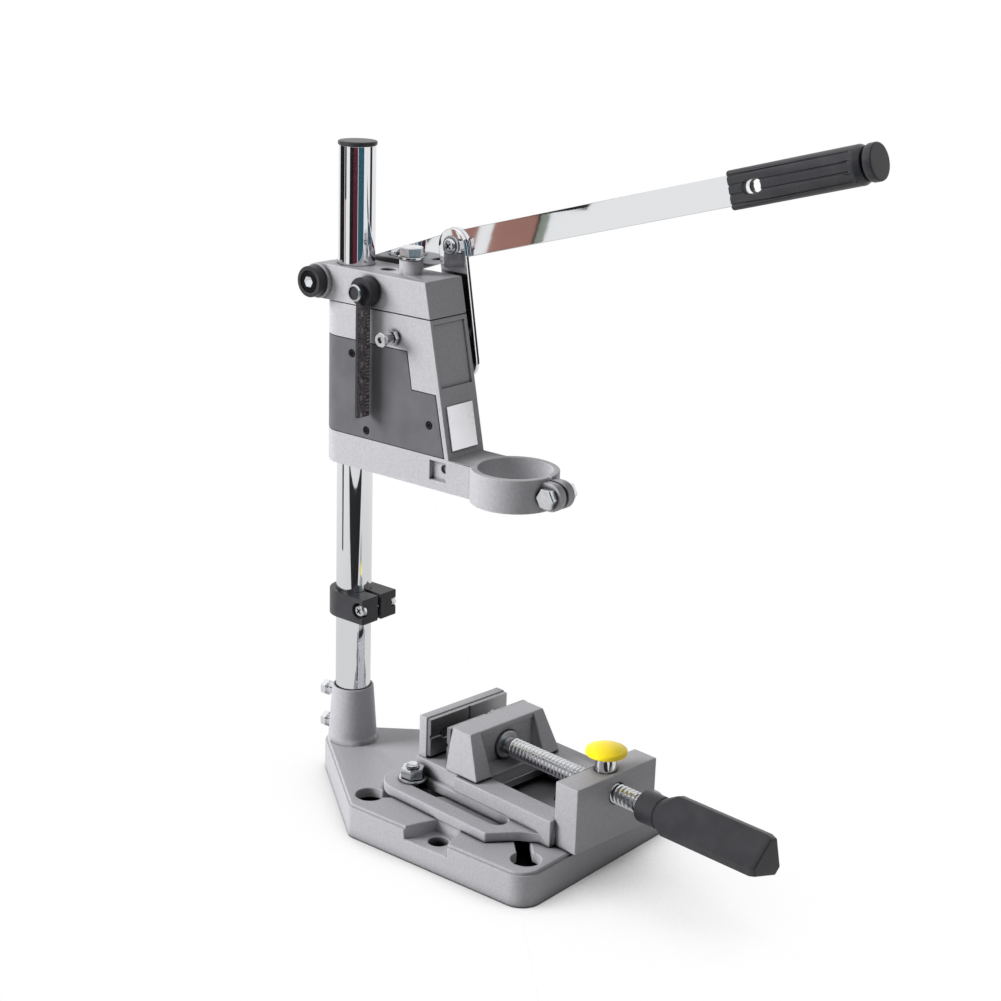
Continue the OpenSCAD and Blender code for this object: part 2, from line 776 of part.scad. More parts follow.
collar_flats = 11;
collar_head = 4.6;
collar_nut_h = 5;
collar_past = 1.5;
ear_face = ear_t + ear_slit / 2;
module collar_bolt() {
    color(chrome) {
        hex_across(-ear_face - collar_head, collar_head, collar_flats, -ear_y, ear_z);
        across(-ear_face, 2 * ear_face + collar_nut_h + collar_past, collar_bolt_r, -ear_y, ear_z);
    }
}
module collar_nut() {
    color(chrome) difference() {
        hex_across(ear_face, collar_nut_h, collar_flats, -ear_y, ear_z);
        across(ear_face - over, collar_nut_h + 2 * over, collar_bolt_r + fit, -ear_y, ear_z);
    }
}

pull_r = 10;
pull_foot = [57, 276];
module pull_plate() {
    color(chrome) difference() {
        upright(pull_x, pull_t) hull() {
            translate([pivot_y, pivot_z]) circle(r = pull_r, $fn = 32);
            translate(pull_foot) circle(r = pull_r, $fn = 32);
        }
        across(pull_x - over, pull_t + 2 * over, pivot_r + fit, pivot_y, pivot_z);
        for (p = plate_screw_at)
            across(pull_x - over, pull_t + 2 * over, plate_screw_r + fit, p[0], p[1]);
    }
}
plate_head_r = 4.2;
plate_head_t = 2.6;
module plate_screws() {
    color(chrome) for (p = plate_screw_at) {
        across(body_half - plate_screw_deep + fit, plate_screw_deep + pull_stand + pull_t, plate_screw_r,
            p[0], p[1]);
        across(pull_x + pull_t, plate_head_t, plate_head_r, p[0], p[1]);
    }
}

pivot_head_r = 4.4;
pivot_head_t = 2.1;
pivot_washer_t = 0.8;
pivot_washer_r = 6;
pivot_nut_h = 5;
pivot_flats = 10;
pivot_past = 1;
module pivot_screw() {
    head_x = pull_x - pivot_washer_t - pivot_head_t;
    color(chrome) {
        across(head_x, pivot_head_t, pivot_head_r, pivot_y, pivot_z);
        across(head_x, lever_out + run + pivot_nut_h + pivot_past - head_x, pivot_r, pivot_y, pivot_z);
    }
}
module pivot_washer() {
    color(chrome) difference() {
        across(pull_x - pivot_washer_t, pivot_washer_t, pivot_washer_r, pivot_y, pivot_z);
        across(pull_x - pivot_washer_t - over, pivot_washer_t + 2 * over, pivot_r + fit, pivot_y, pivot_z);
    }
}
module pivot_nut() {
    color(chrome) difference() {
        hex_across(lever_out + run, pivot_nut_h, pivot_flats, pivot_y, pivot_z);
        across(lever_out, pivot_nut_h + 2 * over, pivot_r + fit, pivot_y, pivot_z);
    }
}

// ---- Lever ----

lever_eye_r = 10.5;
slot_play = 1;
slot_back = 4.5;
slot_front = 3.1;
bar_tail = 9;
grip_wall = 0.1;
lever_mid = lever_x + bar_t / 2;
arm_dy = pivot_y - fulcrum_y;
arm_dz = pivot_z - fulcrum_z;
arm_len = sqrt(arm_dy * arm_dy + arm_dz * arm_dz);
hang_at = 207;
hang_len = 4;
module lever_outline() {
    reach_out = grip_from + grip_len - bar_tail;
    translate([fulcrum_y, fulcrum_z]) circle(r = lever_eye_r);
    translate([pivot_y, pivot_z]) circle(r = lever_eye_r);
    translate([fulcrum_y, fulcrum_z]) rotate(atan2(arm_dz, arm_dy)) translate([0, -bar_w / 2])
        square([arm_len, bar_w]);
    translate([pivot_y, pivot_z]) rotate(180 - lever_angle) translate([0, -bar_w / 2])
        square([reach_out, bar_w]);
}
module lever_bar() {
    color(chrome) difference() {
        upright(lever_x, bar_t) lever_outline();
        across(lever_x - over, bar_t + 2 * over, fulcrum_r + fulcrum_gap, fulcrum_y, fulcrum_z);
        // The slot for the pivot screw
        translate([0, fulcrum_y, fulcrum_z]) rotate([atan2(arm_dz, arm_dy), 0, 0]) {
            across(lever_x - over, bar_t + 2 * over, pivot_r + slot_play, arm_len - slot_back, 0);
            across(lever_x - over, bar_t + 2 * over, pivot_r + slot_play, arm_len + slot_front, 0);
            translate([lever_x - over, arm_len - slot_back, -pivot_r - slot_play])
                cube([bar_t + 2 * over, slot_back + slot_front, 2 * (pivot_r + slot_play)]);
        }
        on_lever() hanging_slot();
    }
}
// The slot to hang the stand by, through the grip and the bar
module hanging_slot() {
    for (y = [-hang_at, -hang_at - hang_len]) across(lever_mid - grip_h, 2 * grip_h, hang_r, y, 0);
    translate([lever_mid - grip_h, -hang_at - hang_len, -hang_r]) cube([2 * grip_h, hang_len, 2 * hang_r]);
}

groove_r = 0.7;
groove_share = [-0.36, -0.12, 0.12, 0.36];
groove_end = 5;
grip_corner = 2.5;
grip_round = 3;
grip_end_r = grip_h / 2;
// A groove along the grip's left (s is -1) or right side at height z
module groove(s, z) {
    wide = sqrt(grip_end_r * grip_end_r - z * z) - grip_t / 2;
    translate([lever_mid + s * grip_t / 2, -grip_from, z]) rotate([90, 0, s * atan(wide / grip_len)])
        translate([0, 0, -over]) cylinder(h = grip_len - groove_end, r = groove_r, $fn = 12);
}
// The grip is flat where it starts and round at its end
module lever_grip() {
    color(black) on_lever() difference() {
        translate([lever_mid, -grip_from, 0]) rotate([90, 0, 0]) hull() {
            linear_extrude(over) for (x = [-1, 1], z = [-1, 1])
                translate([x * (grip_t / 2 - grip_corner), z * (grip_end_r - grip_corner)])
                    circle(r = grip_corner, $fn = 16);
            translate([0, 0, grip_len - grip_round - over]) cylinder(h = over, r = grip_end_r);
            translate([0, 0, grip_len - over]) cylinder(h = over, r = grip_end_r - grip_round / 2);
        }
        translate([lever_x - grip_wall, -grip_from - grip_len + bar_tail - grip_wall, -bar_w / 2 - grip_wall])
            cube([bar_t + 2 * grip_wall, grip_len, bar_w + 2 * grip_wall]);
        hanging_slot();
        for (s = [-1, 1], g = groove_share) groove(s, g * grip_h);
    }
}
cap_neck = 1.8;
cap_neck_r = 6.6;
grip_cap_r = 9.8;
grip_cap_t = 5;
module grip_cap() {
    color(black) on_lever() translate([lever_mid, -grip_from - grip_len, 0]) rotate([90, 0, 0]) {
        cylinder(h = cap_neck, r = cap_neck_r);
        translate([0, 0, cap_neck]) cylinder(h = grip_cap_t, r = grip_cap_r);
    }
}

// ---- Stop ring ----

stop_screw_r = 2.5;
stop_screw_back = 18.1;
stop_screw_z = 8.6;
stop_head_r = 4.2;
stop_head_t = 3;
stop_bore_r = 5;
stop_sink = 3.4;
stop_flats = 8;
stop_nut_h = 3.8;
stop_y = reach - stop_screw_back;
module stop_ring() {
    color(black) difference() {
        translate([0, reach, stop_z]) union() {
            cylinder(h = stop_h, r = stop_r);
            translate([-stop_r, -stop_front, 0]) cube([2 * stop_r, stop_front, stop_h]);
        }
        translate([0, reach, stop_z - over]) cylinder(h = stop_h + 2 * over, r = column_r + slide_gap);
        translate([-stop_slit / 2, reach - stop_front - over, stop_z - over])
            cube([stop_slit, stop_front, stop_h + 2 * over]);
        across(-stop_r - over, 2 * (stop_r + over), stop_screw_r + fit, stop_y, stop_z + stop_screw_z);
        across(-stop_r - over, stop_sink + over, stop_bore_r, stop_y, stop_z + stop_screw_z);
        hex_across(stop_r - stop_nut_h, stop_nut_h + over, stop_flats + 2 * fit, stop_y,
            stop_z + stop_screw_z);
    }
}
module stop_screw() {
    color(chrome) {
        across(-stop_r + stop_sink - stop_head_t, stop_head_t, stop_head_r, stop_y, stop_z + stop_screw_z);
        across(-stop_r + stop_sink, 2 * stop_r - stop_sink, stop_screw_r, stop_y, stop_z + stop_screw_z);
    }
}
module stop_nut() {
    color(chrome) difference() {
        hex_across(stop_r - stop_nut_h, stop_nut_h, stop_flats, stop_y, stop_z + stop_screw_z);
        across(0, 2 * stop_r, stop_screw_r + fit, stop_y, stop_z + stop_screw_z);
    }
}

// ---- Vice ----

flange_half = 61;
flange_front = [36, 45, 33.5, 21];
flange_slot_front = 52.2;
pit_front = 20;
relief_gap = 0.4;
relief_y = 95;
lip_t = 7;
lip_in = 5.4;
stem_r = 6.4;
stem_gap = 0.15;
stem_behind = 7.4;
stem_y = block_t - stem_behind;
stem_travel = 4;
stem_floor = 4.6;
nut_wall = 3.4;
nut_half = screw_r + nut_wall;
nut_deep = 5.5;
nut_over = 3.2;
seat_gap = 0.02;
release_room = 10;
screw_gap = 0.2;
nut_top = screw_z + screw_r + nut_over;
jaw_top = base_h + jaw_h;
rail_top = base_h + rail_h;
block_top = base_h + block_h;
fixed_back = fixed_y + jaw_plate_t + fixed_t;

module flange_outline() {
    end_r = flange_half - flange_x;
    for (s = [0, 1]) mirror([s, 0]) {
        polygon([[gap_half, flange_front[3]], [flange_front[0], flange_front[3]],
            [flange_front[1], flange_front[2]], [flange_half, flange_front[1]], [flange_half, flange_end_y],
            [gap_half, flange_end_y]]);
        translate([flange_x, flange_end_y]) circle(r = end_r);
    }
}

module vice_body() {
    color(casting_grey) in_vice() difference() {
        union() {
            translate([0, 0, base_h]) linear_extrude(flange_h) flange_outline();
            translate([-rail_half, block_t - over, base_h])
                cube([2 * rail_half, fixed_back - block_t + over, rail_h]);
            translate([-block_half, 0, base_h]) cube([2 * block_half, block_t, block_h]);
            translate([-jaw_half, fixed_y + jaw_plate_t, base_h]) cube([2 * jaw_half, fixed_t, jaw_h]);
        }
        // The underside stands just clear of the base's top face
        translate([-flange_half - over, -over, base_h - over])
            cube([2 * (flange_half + over), 2 * fixed_back, over + seat_gap]);
        // The pit between the rails, wider below their lips
        translate([-gap_half, pit_front, base_h - over])
            cube([2 * gap_half, fixed_y - pit_front - jaw_plate_t, rail_h + 2 * over]);
        translate([-gap_half - lip_in, pit_front, base_h - over])
            cube([2 * (gap_half + lip_in), fixed_y - pit_front - jaw_plate_t, rail_h - lip_t + over]);
        for (s = [-1, 1]) translate([s * flange_x, 0, base_h - over]) {
            for (y = [flange_slot_front, flange_end_y])
                translate([0, y, 0]) cylinder(h = flange_h + 2 * over, r = flange_slot_w / 2);
            translate([-flange_slot_w / 2, flange_slot_front, 0])
                cube([flange_slot_w, flange_end_y - flange_slot_front, flange_h + 2 * over]);
        }
        // The rails are relieved beside the washers of the holding-down bolts
        for (s = [0, 1]) mirror([s, 0, 0]) translate([flange_x - washer_r - relief_gap, relief_y, flange_top])
            cube([rail_half, fixed_back, rail_h]);
        along(-over, block_t + pit_front, screw_r + screw_gap, 0, screw_z);
        translate([0, stem_y, screw_z]) cylinder(h = block_h, r = stem_r + stem_gap);
        // The pocket for the half nut, open below
        translate([-nut_half - stem_gap, stem_y - nut_deep - stem_gap, base_h + stem_floor])
            cube([2 * (nut_half + stem_gap), 2 * (nut_deep + stem_gap),
                nut_top + stem_gap - base_h - stem_floor]);
        for (s = [-1, 1])
            along(fixed_y, jaw_plate_t + fixed_t + over, plate_fix_r + fit, s * plate_fix_x, plate_fix_z);
    }
}

plate_fix_r = 2;
plate_fix_head = 3.4;
plate_fix_x = 20;
jaw_plate_h = 24;
plate_fix_z = jaw_top - jaw_plate_h / 2;
groove_w = 2;
groove_deep = 0.9;
plate_top_gap = 0.6;
// A steel jaw plate from y0 on, grooved on its free face, which looks to -Y when s is 0
module jaw_plate(y0, s) {
    face = s == 0 ? y0 - over : y0 + jaw_plate_t - groove_deep;
    head = s == 0 ? y0 - over : y0 + jaw_plate_t / 2;
    difference() {
        translate([-jaw_half + plate_top_gap, y0, jaw_top - jaw_plate_h - plate_top_gap])
            cube([2 * (jaw_half - plate_top_gap), jaw_plate_t, jaw_plate_h]);
        translate([-jaw_half, face, plate_fix_z - groove_w / 2])
            cube([2 * jaw_half, groove_deep + over, groove_w]);
        translate([-groove_w / 2, face, base_h]) cube([groove_w, groove_deep + over, jaw_h]);
        for (x = [-plate_fix_x, plate_fix_x]) {
            along(y0 - over, jaw_plate_t + 2 * over, plate_fix_r + fit, x, plate_fix_z);
            along(head, jaw_plate_t / 2 + over, plate_fix_head + fit, x, plate_fix_z);
        }
    }
}
module fixed_jaw_plate() { color(steel) in_vice() jaw_plate(fixed_y, 0); }
module fixed_plate_screws() {
    color(chrome) in_vice() for (x = [-plate_fix_x, plate_fix_x]) {
        along(fixed_y + jaw_plate_t / 4, jaw_plate_t / 4, plate_fix_head, x, plate_fix_z);
        along(fixed_y + jaw_plate_t / 2, jaw_plate_t / 2 + fixed_t, plate_fix_r, x, plate_fix_z);
    }
}

jaw_front = fixed_y - jaw_gap;
jaw_back = jaw_front - jaw_plate_t;
jaw_foot = 26;
jaw_crown = 15.6;
jaw_foot_half = 35.5;
jaw_crown_half = 31;
jaw_side = 2;
jaw_toe = 2;
tongue_gap = 0.3;
keeper_t = 5;
keeper_len = 23;
keeper_back = 25;
keeper_y = jaw_back - keeper_back;
collar_t = 4.2;
collar_out_r = 8.8;
collar_back = 16.8;
collar_y = jaw_back - collar_back;
neck_r = 3.6;
recess_half = 22.6;
recess_front = 1.8;
recess_floor = 4.2;
recess_back = 14.8;
ledge_back = 15.4;
ledge_low = 3.6;
keeper_top = rail_top - lip_t - run;
module moving_jaw() {
    color(casting_grey) in_vice() difference() {
        union() {
            intersection() {
                upright(-jaw_foot_half, 2 * jaw_foot_half) polygon([[jaw_back - jaw_foot, rail_top + run],
                    [jaw_back, rail_top + run], [jaw_back, jaw_top], [jaw_back - jaw_crown, jaw_top],
                    [jaw_back - jaw_foot, rail_top + jaw_toe]]);
                translate([0, jaw_back, 0]) rotate([90, 0, 0]) linear_extrude(jaw_foot)
                    polygon([[-jaw_foot_half, base_h], [jaw_foot_half, base_h],
                        [jaw_foot_half, rail_top + jaw_side], [jaw_crown_half, jaw_top],
                        [-jaw_crown_half, jaw_top], [-jaw_foot_half, rail_top + jaw_side]]);
            }
            translate([-gap_half + tongue_gap, keeper_y, keeper_top])
                cube([2 * (gap_half - tongue_gap), keeper_len, lip_t + run + over]);
        }
        // The recess between the cheeks, with a floor that slopes to the front
        upright(-recess_half, 2 * recess_half) polygon([[jaw_back - jaw_foot - over, rail_top + recess_front],
            [jaw_back - recess_back, rail_top + recess_floor], [jaw_back - recess_back, jaw_top - ledge_low],
            [jaw_back - ledge_back, jaw_top - ledge_low], [jaw_back - ledge_back, jaw_top + over],
            [jaw_back - jaw_foot - over, jaw_top + over]]);
        along(collar_y - over, collar_t + over, collar_out_r + fit, 0, screw_z);
        along(collar_y, collar_t + end_stub + 2 * screw_gap, rivet_r + screw_gap, 0, screw_z);
        for (s = [-1, 1])
            along(jaw_back - fixed_t, fixed_t + over, plate_fix_r + fit, s * plate_fix_x, plate_fix_z);
        for (x = keeper_x, y = keeper_ys)
            translate([x, y, keeper_top - over]) cylinder(h = keeper_deep + over, r = keeper_r + fit);
    }
}
module moving_jaw_plate() { color(steel) in_vice() jaw_plate(jaw_back, 1); }
module moving_plate_screws() {
    color(chrome) in_vice() for (x = [-plate_fix_x, plate_fix_x]) {
        along(jaw_back + jaw_plate_t / 2, jaw_plate_t / 4, plate_fix_head, x, plate_fix_z);
        along(jaw_back - fixed_t + fit, fixed_t + jaw_plate_t / 2, plate_fix_r, x, plate_fix_z);
    }
}

keeper_r = 2;
keeper_head_r = 3.6;
keeper_head_t = 2.2;
keeper_deep = 6;
keeper_x = [-14, 14];
keeper_ys = [keeper_y + keeper_len / 2];
module jaw_keeper() {
    half = gap_half + lip_in - run;
    color(steel) in_vice() difference() {
        translate([-half, keeper_y, keeper_top - keeper_t]) cube([2 * half, keeper_len, keeper_t]);
        for (x = keeper_x, y = keeper_ys) translate([x, y, keeper_top - keeper_t - over]) {
            cylinder(h = keeper_t + 2 * over, r = keeper_r + fit);
            cylinder(h = keeper_head_t + over, r = keeper_head_r + fit);
        }
    }
}
module keeper_screws() {
    color(chrome) in_vice() for (x = keeper_x, y = keeper_ys) translate([x, y, keeper_top - keeper_t]) {
        cylinder(h = keeper_head_t, r = keeper_head_r);
        cylinder(h = keeper_t + keeper_deep - fit, r = keeper_r);
    }
}

// The ring that the lead screw's end is riveted over behind
module screw_collar() {
    color(steel) in_vice() difference() {
        along(collar_y, collar_t, collar_out_r, 0, screw_z);
        along(collar_y - over, collar_t + 2 * over, neck_r + screw_gap, 0, screw_z);
    }
}

ferrule_y = 20.4;
ferrule_len = 13.5;
ferrule_r = 9.5;
screw_into_grip = 55;
end_stub = 3;
rivet_r = 5;
module lead_screw() {
    tail = ferrule_y + ferrule_len + screw_into_grip;
    color(chrome) in_vice() {
        along(-tail, tail + collar_y - screw_gap, screw_r, 0, screw_z);
        along(-tail, tail + collar_y + collar_t + end_stub, neck_r, 0, screw_z);
        along(collar_y + collar_t + screw_gap, end_stub, rivet_r, 0, screw_z);
    }
}

facet_half = 12;
facet_turn = [74, 194, 314];
tip_len = 4;
tip_share = 0.9;
flare_len = 10;
// The grip's section, a triangle with its corners cut off
module handle_section(r) {
    polygon([for (a = facet_turn, d = [-facet_half, facet_half]) [r * cos(a + d), r * sin(a + d)]]);
}
module vice_handle() {
    grip_y = ferrule_y + ferrule_len;
    color(black) in_vice() difference() {
        union() {
            along(-grip_y, ferrule_len, ferrule_r, 0, screw_z);
            translate([0, -grip_y, screw_z]) rotate([90, 0, 0]) {
                hull() {
                    cylinder(h = over, r = ferrule_r);
                    translate([0, 0, flare_len]) linear_extrude(over) handle_section(handle_r);
                }
                translate([0, 0, flare_len]) linear_extrude(handle_len - tip_len - flare_len)
                    handle_section(handle_r);
                translate([0, 0, handle_len - tip_len]) linear_extrude(tip_len, scale = tip_share)
                    handle_section(handle_r);
            }
        }
        along(-grip_y - screw_into_grip - fit, grip_y + screw_into_grip, screw_r + fit, 0, screw_z);
    }
}

button_t = 5.6;
button_rim = 2.6;
button_lift = 9.6;
button_z = block_top + button_lift;
module release_button() {
    dome = button_t - button_rim;
    dome_r = (button_r * button_r + dome * dome) / 2 / dome;
    color(yellow) in_vice() translate([0, stem_y, button_z]) {
        cylinder(h = button_rim, r = button_r);
        intersection() {
            cylinder(h = button_t, r = button_r);
            translate([0, 0, button_t - dome_r]) sphere(r = dome_r, $fn = 96);
        }
    }
}
module release_stem() {
    foot = base_h + stem_floor + release_room;
    color(chrome) in_vice() difference() {
        union() {
            translate([0, stem_y, nut_top - over]) cylinder(h = button_z - nut_top + over, r = stem_r);
            translate([-nut_half, stem_y - nut_deep, foot])
                cube([2 * nut_half, 2 * nut_deep, nut_top - foot]);
        }
        for (z = [screw_z, screw_z + stem_travel])
            along(stem_y - stem_r - over, 2 * (stem_r + over), screw_r + screw_gap, 0, z);
        translate([-screw_r - screw_gap, stem_y - stem_r - over, screw_z])
            cube([2 * (screw_r + screw_gap), 2 * (stem_r + over), stem_travel]);
    }
}
release_turns = 4;
release_wire_r = 0.6;
release_coil_r = 5;
module release_spring() {
    color(steel) in_vice() translate([0, stem_y, 0]) coil(base_h + stem_floor,
        base_h + stem_floor + release_room, release_coil_r, release_wire_r, release_turns, 12, 6);
}

base_plate();
column();
column_cap();
column_screws();
vice_bolt();
vice_washer();
vice_nut();
head_block();
fulcrum_bolt();
fulcrum_ring();
fulcrum_washer();
fulcrum_nut();
guide_rod();
rod_washer();
rod_nut();
spring_seat();
return_spring();
depth_scale();
scale_knob();
carriage_body();
left_cover();
right_cover();
cover_screws();
guide_bushes();
front_plate();
depth_pin();
collar_bolt();
collar_nut();
pull_plate();
plate_screws();
pivot_screw();
pivot_washer();
pivot_nut();
lever_bar();
lever_grip();
grip_cap();
stop_ring();
stop_screw();
stop_nut();
vice_body();
fixed_jaw_plate();
fixed_plate_screws();
moving_jaw();
moving_jaw_plate();
moving_plate_screws();
jaw_keeper();
keeper_screws();
screw_collar();
lead_screw();
vice_handle();
release_button();
release_stem();
release_spring();
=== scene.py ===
"""A drill stand on a pale floor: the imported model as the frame, with its finishes and fine details."""
import json
import math

import bmesh
import bpy
from mathutils import Matrix, Vector

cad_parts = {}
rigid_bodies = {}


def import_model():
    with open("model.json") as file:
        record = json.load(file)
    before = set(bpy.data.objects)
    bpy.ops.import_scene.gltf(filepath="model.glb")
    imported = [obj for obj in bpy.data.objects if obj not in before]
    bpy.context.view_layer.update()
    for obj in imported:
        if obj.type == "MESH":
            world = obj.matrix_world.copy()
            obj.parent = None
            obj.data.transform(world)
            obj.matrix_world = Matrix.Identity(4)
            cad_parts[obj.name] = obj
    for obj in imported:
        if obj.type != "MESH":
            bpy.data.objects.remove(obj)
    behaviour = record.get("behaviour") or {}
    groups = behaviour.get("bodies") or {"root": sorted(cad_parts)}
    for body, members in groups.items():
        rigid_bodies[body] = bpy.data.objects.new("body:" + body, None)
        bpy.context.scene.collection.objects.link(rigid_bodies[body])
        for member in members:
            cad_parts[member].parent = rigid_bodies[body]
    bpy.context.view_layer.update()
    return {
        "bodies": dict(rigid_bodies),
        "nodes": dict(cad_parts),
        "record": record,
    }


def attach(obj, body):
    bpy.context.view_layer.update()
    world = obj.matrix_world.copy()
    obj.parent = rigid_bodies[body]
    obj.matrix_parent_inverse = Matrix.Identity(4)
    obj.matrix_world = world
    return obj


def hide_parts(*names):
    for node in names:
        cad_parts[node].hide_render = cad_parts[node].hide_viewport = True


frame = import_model()
nodes = frame["nodes"]
bpy.ops.object.select_all(action="DESELECT")

MM = 0.001

# Camera, as the photograph was taken
CAMERA_AT = Vector((-827.04, -660.47, 535.97)) * MM
CAMERA_YAW = math.radians(39.03)
CAMERA_PITCH = math.radians(17.27)
CAMERA_ROLL = 0.0321
FOCAL_PX = 1936.54
FRAME_PX = 1001
SENSOR = 36.0
NEAREST = 0.01

# Places on the stand, in millimetres
COLUMN_Y = 125.5
ROD_Y = 82.0
FULCRUM_YZ = (141.0, 316.5)
PIVOT_YZ = (68.5, 342.6)
EAR_YZ = (-30.5, 216.7)
PIN_YZ = (79.5, 292.0)
STOP_YZ = (107.4, 115.3)
KNOB_YZ = (99.5, 316.5)
COVER_SCREW_YZ = ((101.4, 231.7), (51.9, 244.5), (113.6, 276.6))
PLATE_SCREW_YZ = ((56.8, 274.0), (59.8, 292.0))
SET_SCREW_HEIGHTS = (27.0, 49.0)
VICE_BOLT_XY = (-29.74, 47.0)

# Where the heads and nuts of the cross screws seat, along X
FULCRUM_HEAD_X = -19.8
FULCRUM_NUT_X = 28.4
PIVOT_HEAD_X = 18.6
PIVOT_NUT_X = 26.8
EAR_X = 6.55
PIN_HEAD_X = -26.4
STOP_HEAD_X = -11.6
STOP_NUT_X = 11.2
COVER_X = 14.8
PLATE_X = 22.4
KNOB_X = -8.2

# Where the other fasteners seat, along Y or up from the bench
SOCKET_BACK_Y = 146
VICE_NUT_Z = 29.2
VICE_BOLT_TOP_Z = 38.1
ROD_HEAD_Z = 337.1
ROD_NUT_Z = 210.9

# The vice's own frame: the middle of its front face, and its turn on the base
VICE_AT = Vector((1.7, -81.4, 0)) * MM
VICE_TURN = math.radians(-5.5)
VICE = Matrix.Translation(VICE_AT) @ Matrix.Rotation(VICE_TURN, 4, "Z")

# Turns that lay a piece made along Z along another direction
ALONG_X = Matrix.Rotation(math.pi / 2, 4, "Y")
AGAINST_X = Matrix.Rotation(-math.pi / 2, 4, "Y")
ALONG_Y = Matrix.Rotation(-math.pi / 2, 4, "X")
UPSIDE_DOWN = Matrix.Rotation(math.pi, 4, "X")
UPRIGHT = Matrix.Identity(4)


def place_camera():
    """The camera stands and looks as the one that took the photograph."""
    ahead = Vector((math.cos(CAMERA_YAW) * math.cos(CAMERA_PITCH),
                    math.sin(CAMERA_YAW) * math.cos(CAMERA_PITCH), -math.sin(CAMERA_PITCH)))
    level = Vector((math.sin(CAMERA_YAW), -math.cos(CAMERA_YAW), 0))
    upright = level.cross(ahead)
    right = math.cos(CAMERA_ROLL) * level + math.sin(CAMERA_ROLL) * upright
    top = math.cos(CAMERA_ROLL) * upright - math.sin(CAMERA_ROLL) * level
    data = bpy.data.cameras.new("camera")
    data.sensor_fit = "HORIZONTAL"
    data.sensor_width = SENSOR
    data.lens = FOCAL_PX * SENSOR / FRAME_PX
    data.clip_start = NEAREST
    camera = bpy.data.objects.new("camera", data)
    bpy.context.scene.collection.objects.link(camera)
    turn = Matrix((right, top, -ahead)).transposed().to_4x4()
    camera.matrix_world = Matrix.Translation(CAMERA_AT) @ turn
    bpy.context.scene.camera = camera


# Finishes

HOLLOW_SAMPLES = 6
EDGE_SAMPLES = 4
# How far the smoothed and the true surface agree where the lighter edge, partly wear and partly a painted
# highlight, starts, and where it is full
WEAR_AND_HIGHLIGHT_STARTS = 0.99
WEAR_AND_HIGHLIGHT_FULL = 0.90
# The dark colour of the shade painted into hollows, seams and corners
PAINTED_SHADE_COLOUR = (0.006, 0.006, 0.007)
# The stretch of the noise over which a colour changes
NOISE_LOW = 0.3
NOISE_HIGH = 0.7
RELIEF_STRENGTH = 0.35


def finish_base(name, colour, roughness, metallic=0.0):
    """A material with its plain settings, and its node tree and shader."""
    material = bpy.data.materials.new(name)
    material.use_nodes = True
    shader = material.node_tree.nodes["Principled BSDF"]
    shader.inputs["Base Color"].default_value = (*colour, 1)
    shader.inputs["Roughness"].default_value = roughness
    shader.inputs["Metallic"].default_value = metallic
    return material, material.node_tree, shader


def object_noise(tree, scale, detail=3.0, stretch=(1, 1, 1)):
    """Noise over the piece in its own coordinates, in cells of 1 / scale metres."""
    coordinates = tree.nodes.new("ShaderNodeTexCoord")
    mapping = tree.nodes.new("ShaderNodeMapping")
    mapping.inputs["Scale"].default_value = stretch
    noise = tree.nodes.new("ShaderNodeTexNoise")
    noise.inputs["Scale"].default_value = scale
    noise.inputs["Detail"].default_value = detail
    tree.links.new(coordinates.outputs["Object"], mapping.inputs["Vector"])
    tree.links.new(mapping.outputs["Vector"], noise.inputs["Vector"])
    return noise


def colour_ramp(tree, noise, dark, light):
    """A colour that runs between two others with the noise."""
    ramp = tree.nodes.new("ShaderNodeValToRGB")
    ramp.color_ramp.elements[0].position = NOISE_LOW
    ramp.color_ramp.elements[1].position = NOISE_HIGH
    ramp.color_ramp.elements[0].color = (*dark, 1)
    ramp.color_ramp.elements[1].color = (*light, 1)
    tree.links.new(noise.outputs["Fac"], ramp.inputs["Fac"])
    return ramp.outputs["Color"]


def vary_colour(tree, shader, noise, dark, light):
    """The base colour runs between two colours with the noise."""
    tree.links.new(colour_ramp(tree, noise, dark, light), shader.inputs["Base Color"])


def vary_roughness(tree, shader, noise, low, high):
    """The roughness runs between two values with the noise."""
    spread = tree.nodes.new("ShaderNodeMapRange")
    spread.inputs["To Min"].default_value = low
    spread.inputs["To Max"].default_value = high
    tree.links.new(noise.outputs["Fac"], spread.inputs["Value"])
    tree.links.new(spread.outputs["Result"], shader.inputs["Roughness"])


def fine_relief(tree, shader, noise, height):
    """A fine relief from the noise."""
    bump = tree.nodes.new("ShaderNodeBump")
    bump.inputs["Strength"].default_value = RELIEF_STRENGTH
    bump.inputs["Distance"].default_value = height
    tree.links.new(noise.outputs["Fac"], bump.inputs["Height"])
    tree.links.new(bump.outputs["Normal"], shader.inputs["Normal"])


def openness(tree, reach, shut_at, open_at):
    """Nought where the surface is shut in within the reach, and one where it is open."""
    hollow = tree.nodes.new("ShaderNodeAmbientOcclusion")
    hollow.samples = HOLLOW_SAMPLES
    hollow.inputs["Distance"].default_value = reach
    spread = tree.nodes.new("ShaderNodeMapRange")
    spread.inputs["From Min"].default_value = shut_at
    spread.inputs["From Max"].default_value = open_at
    tree.links.new(hollow.outputs["AO"], spread.inputs["Value"])
    return spread.outputs["Result"]


def dirty_seams(tree, colour, depth, shade_full_at, shade_gone_at):
    """The colour darkens to painted shade where the surface is shut in, within the depth."""
    unshaded = openness(tree, depth, shade_full_at, shade_gone_at)
    blend = tree.nodes.new("ShaderNodeMix")
    blend.data_type = "RGBA"
    blend.inputs["A"].default_value = (*PAINTED_SHADE_COLOUR, 1)
    tree.links.new(unshaded, blend.inputs["Factor"])
    tree.links.new(colour, blend.inputs["B"])
    return blend.outputs["Result"]


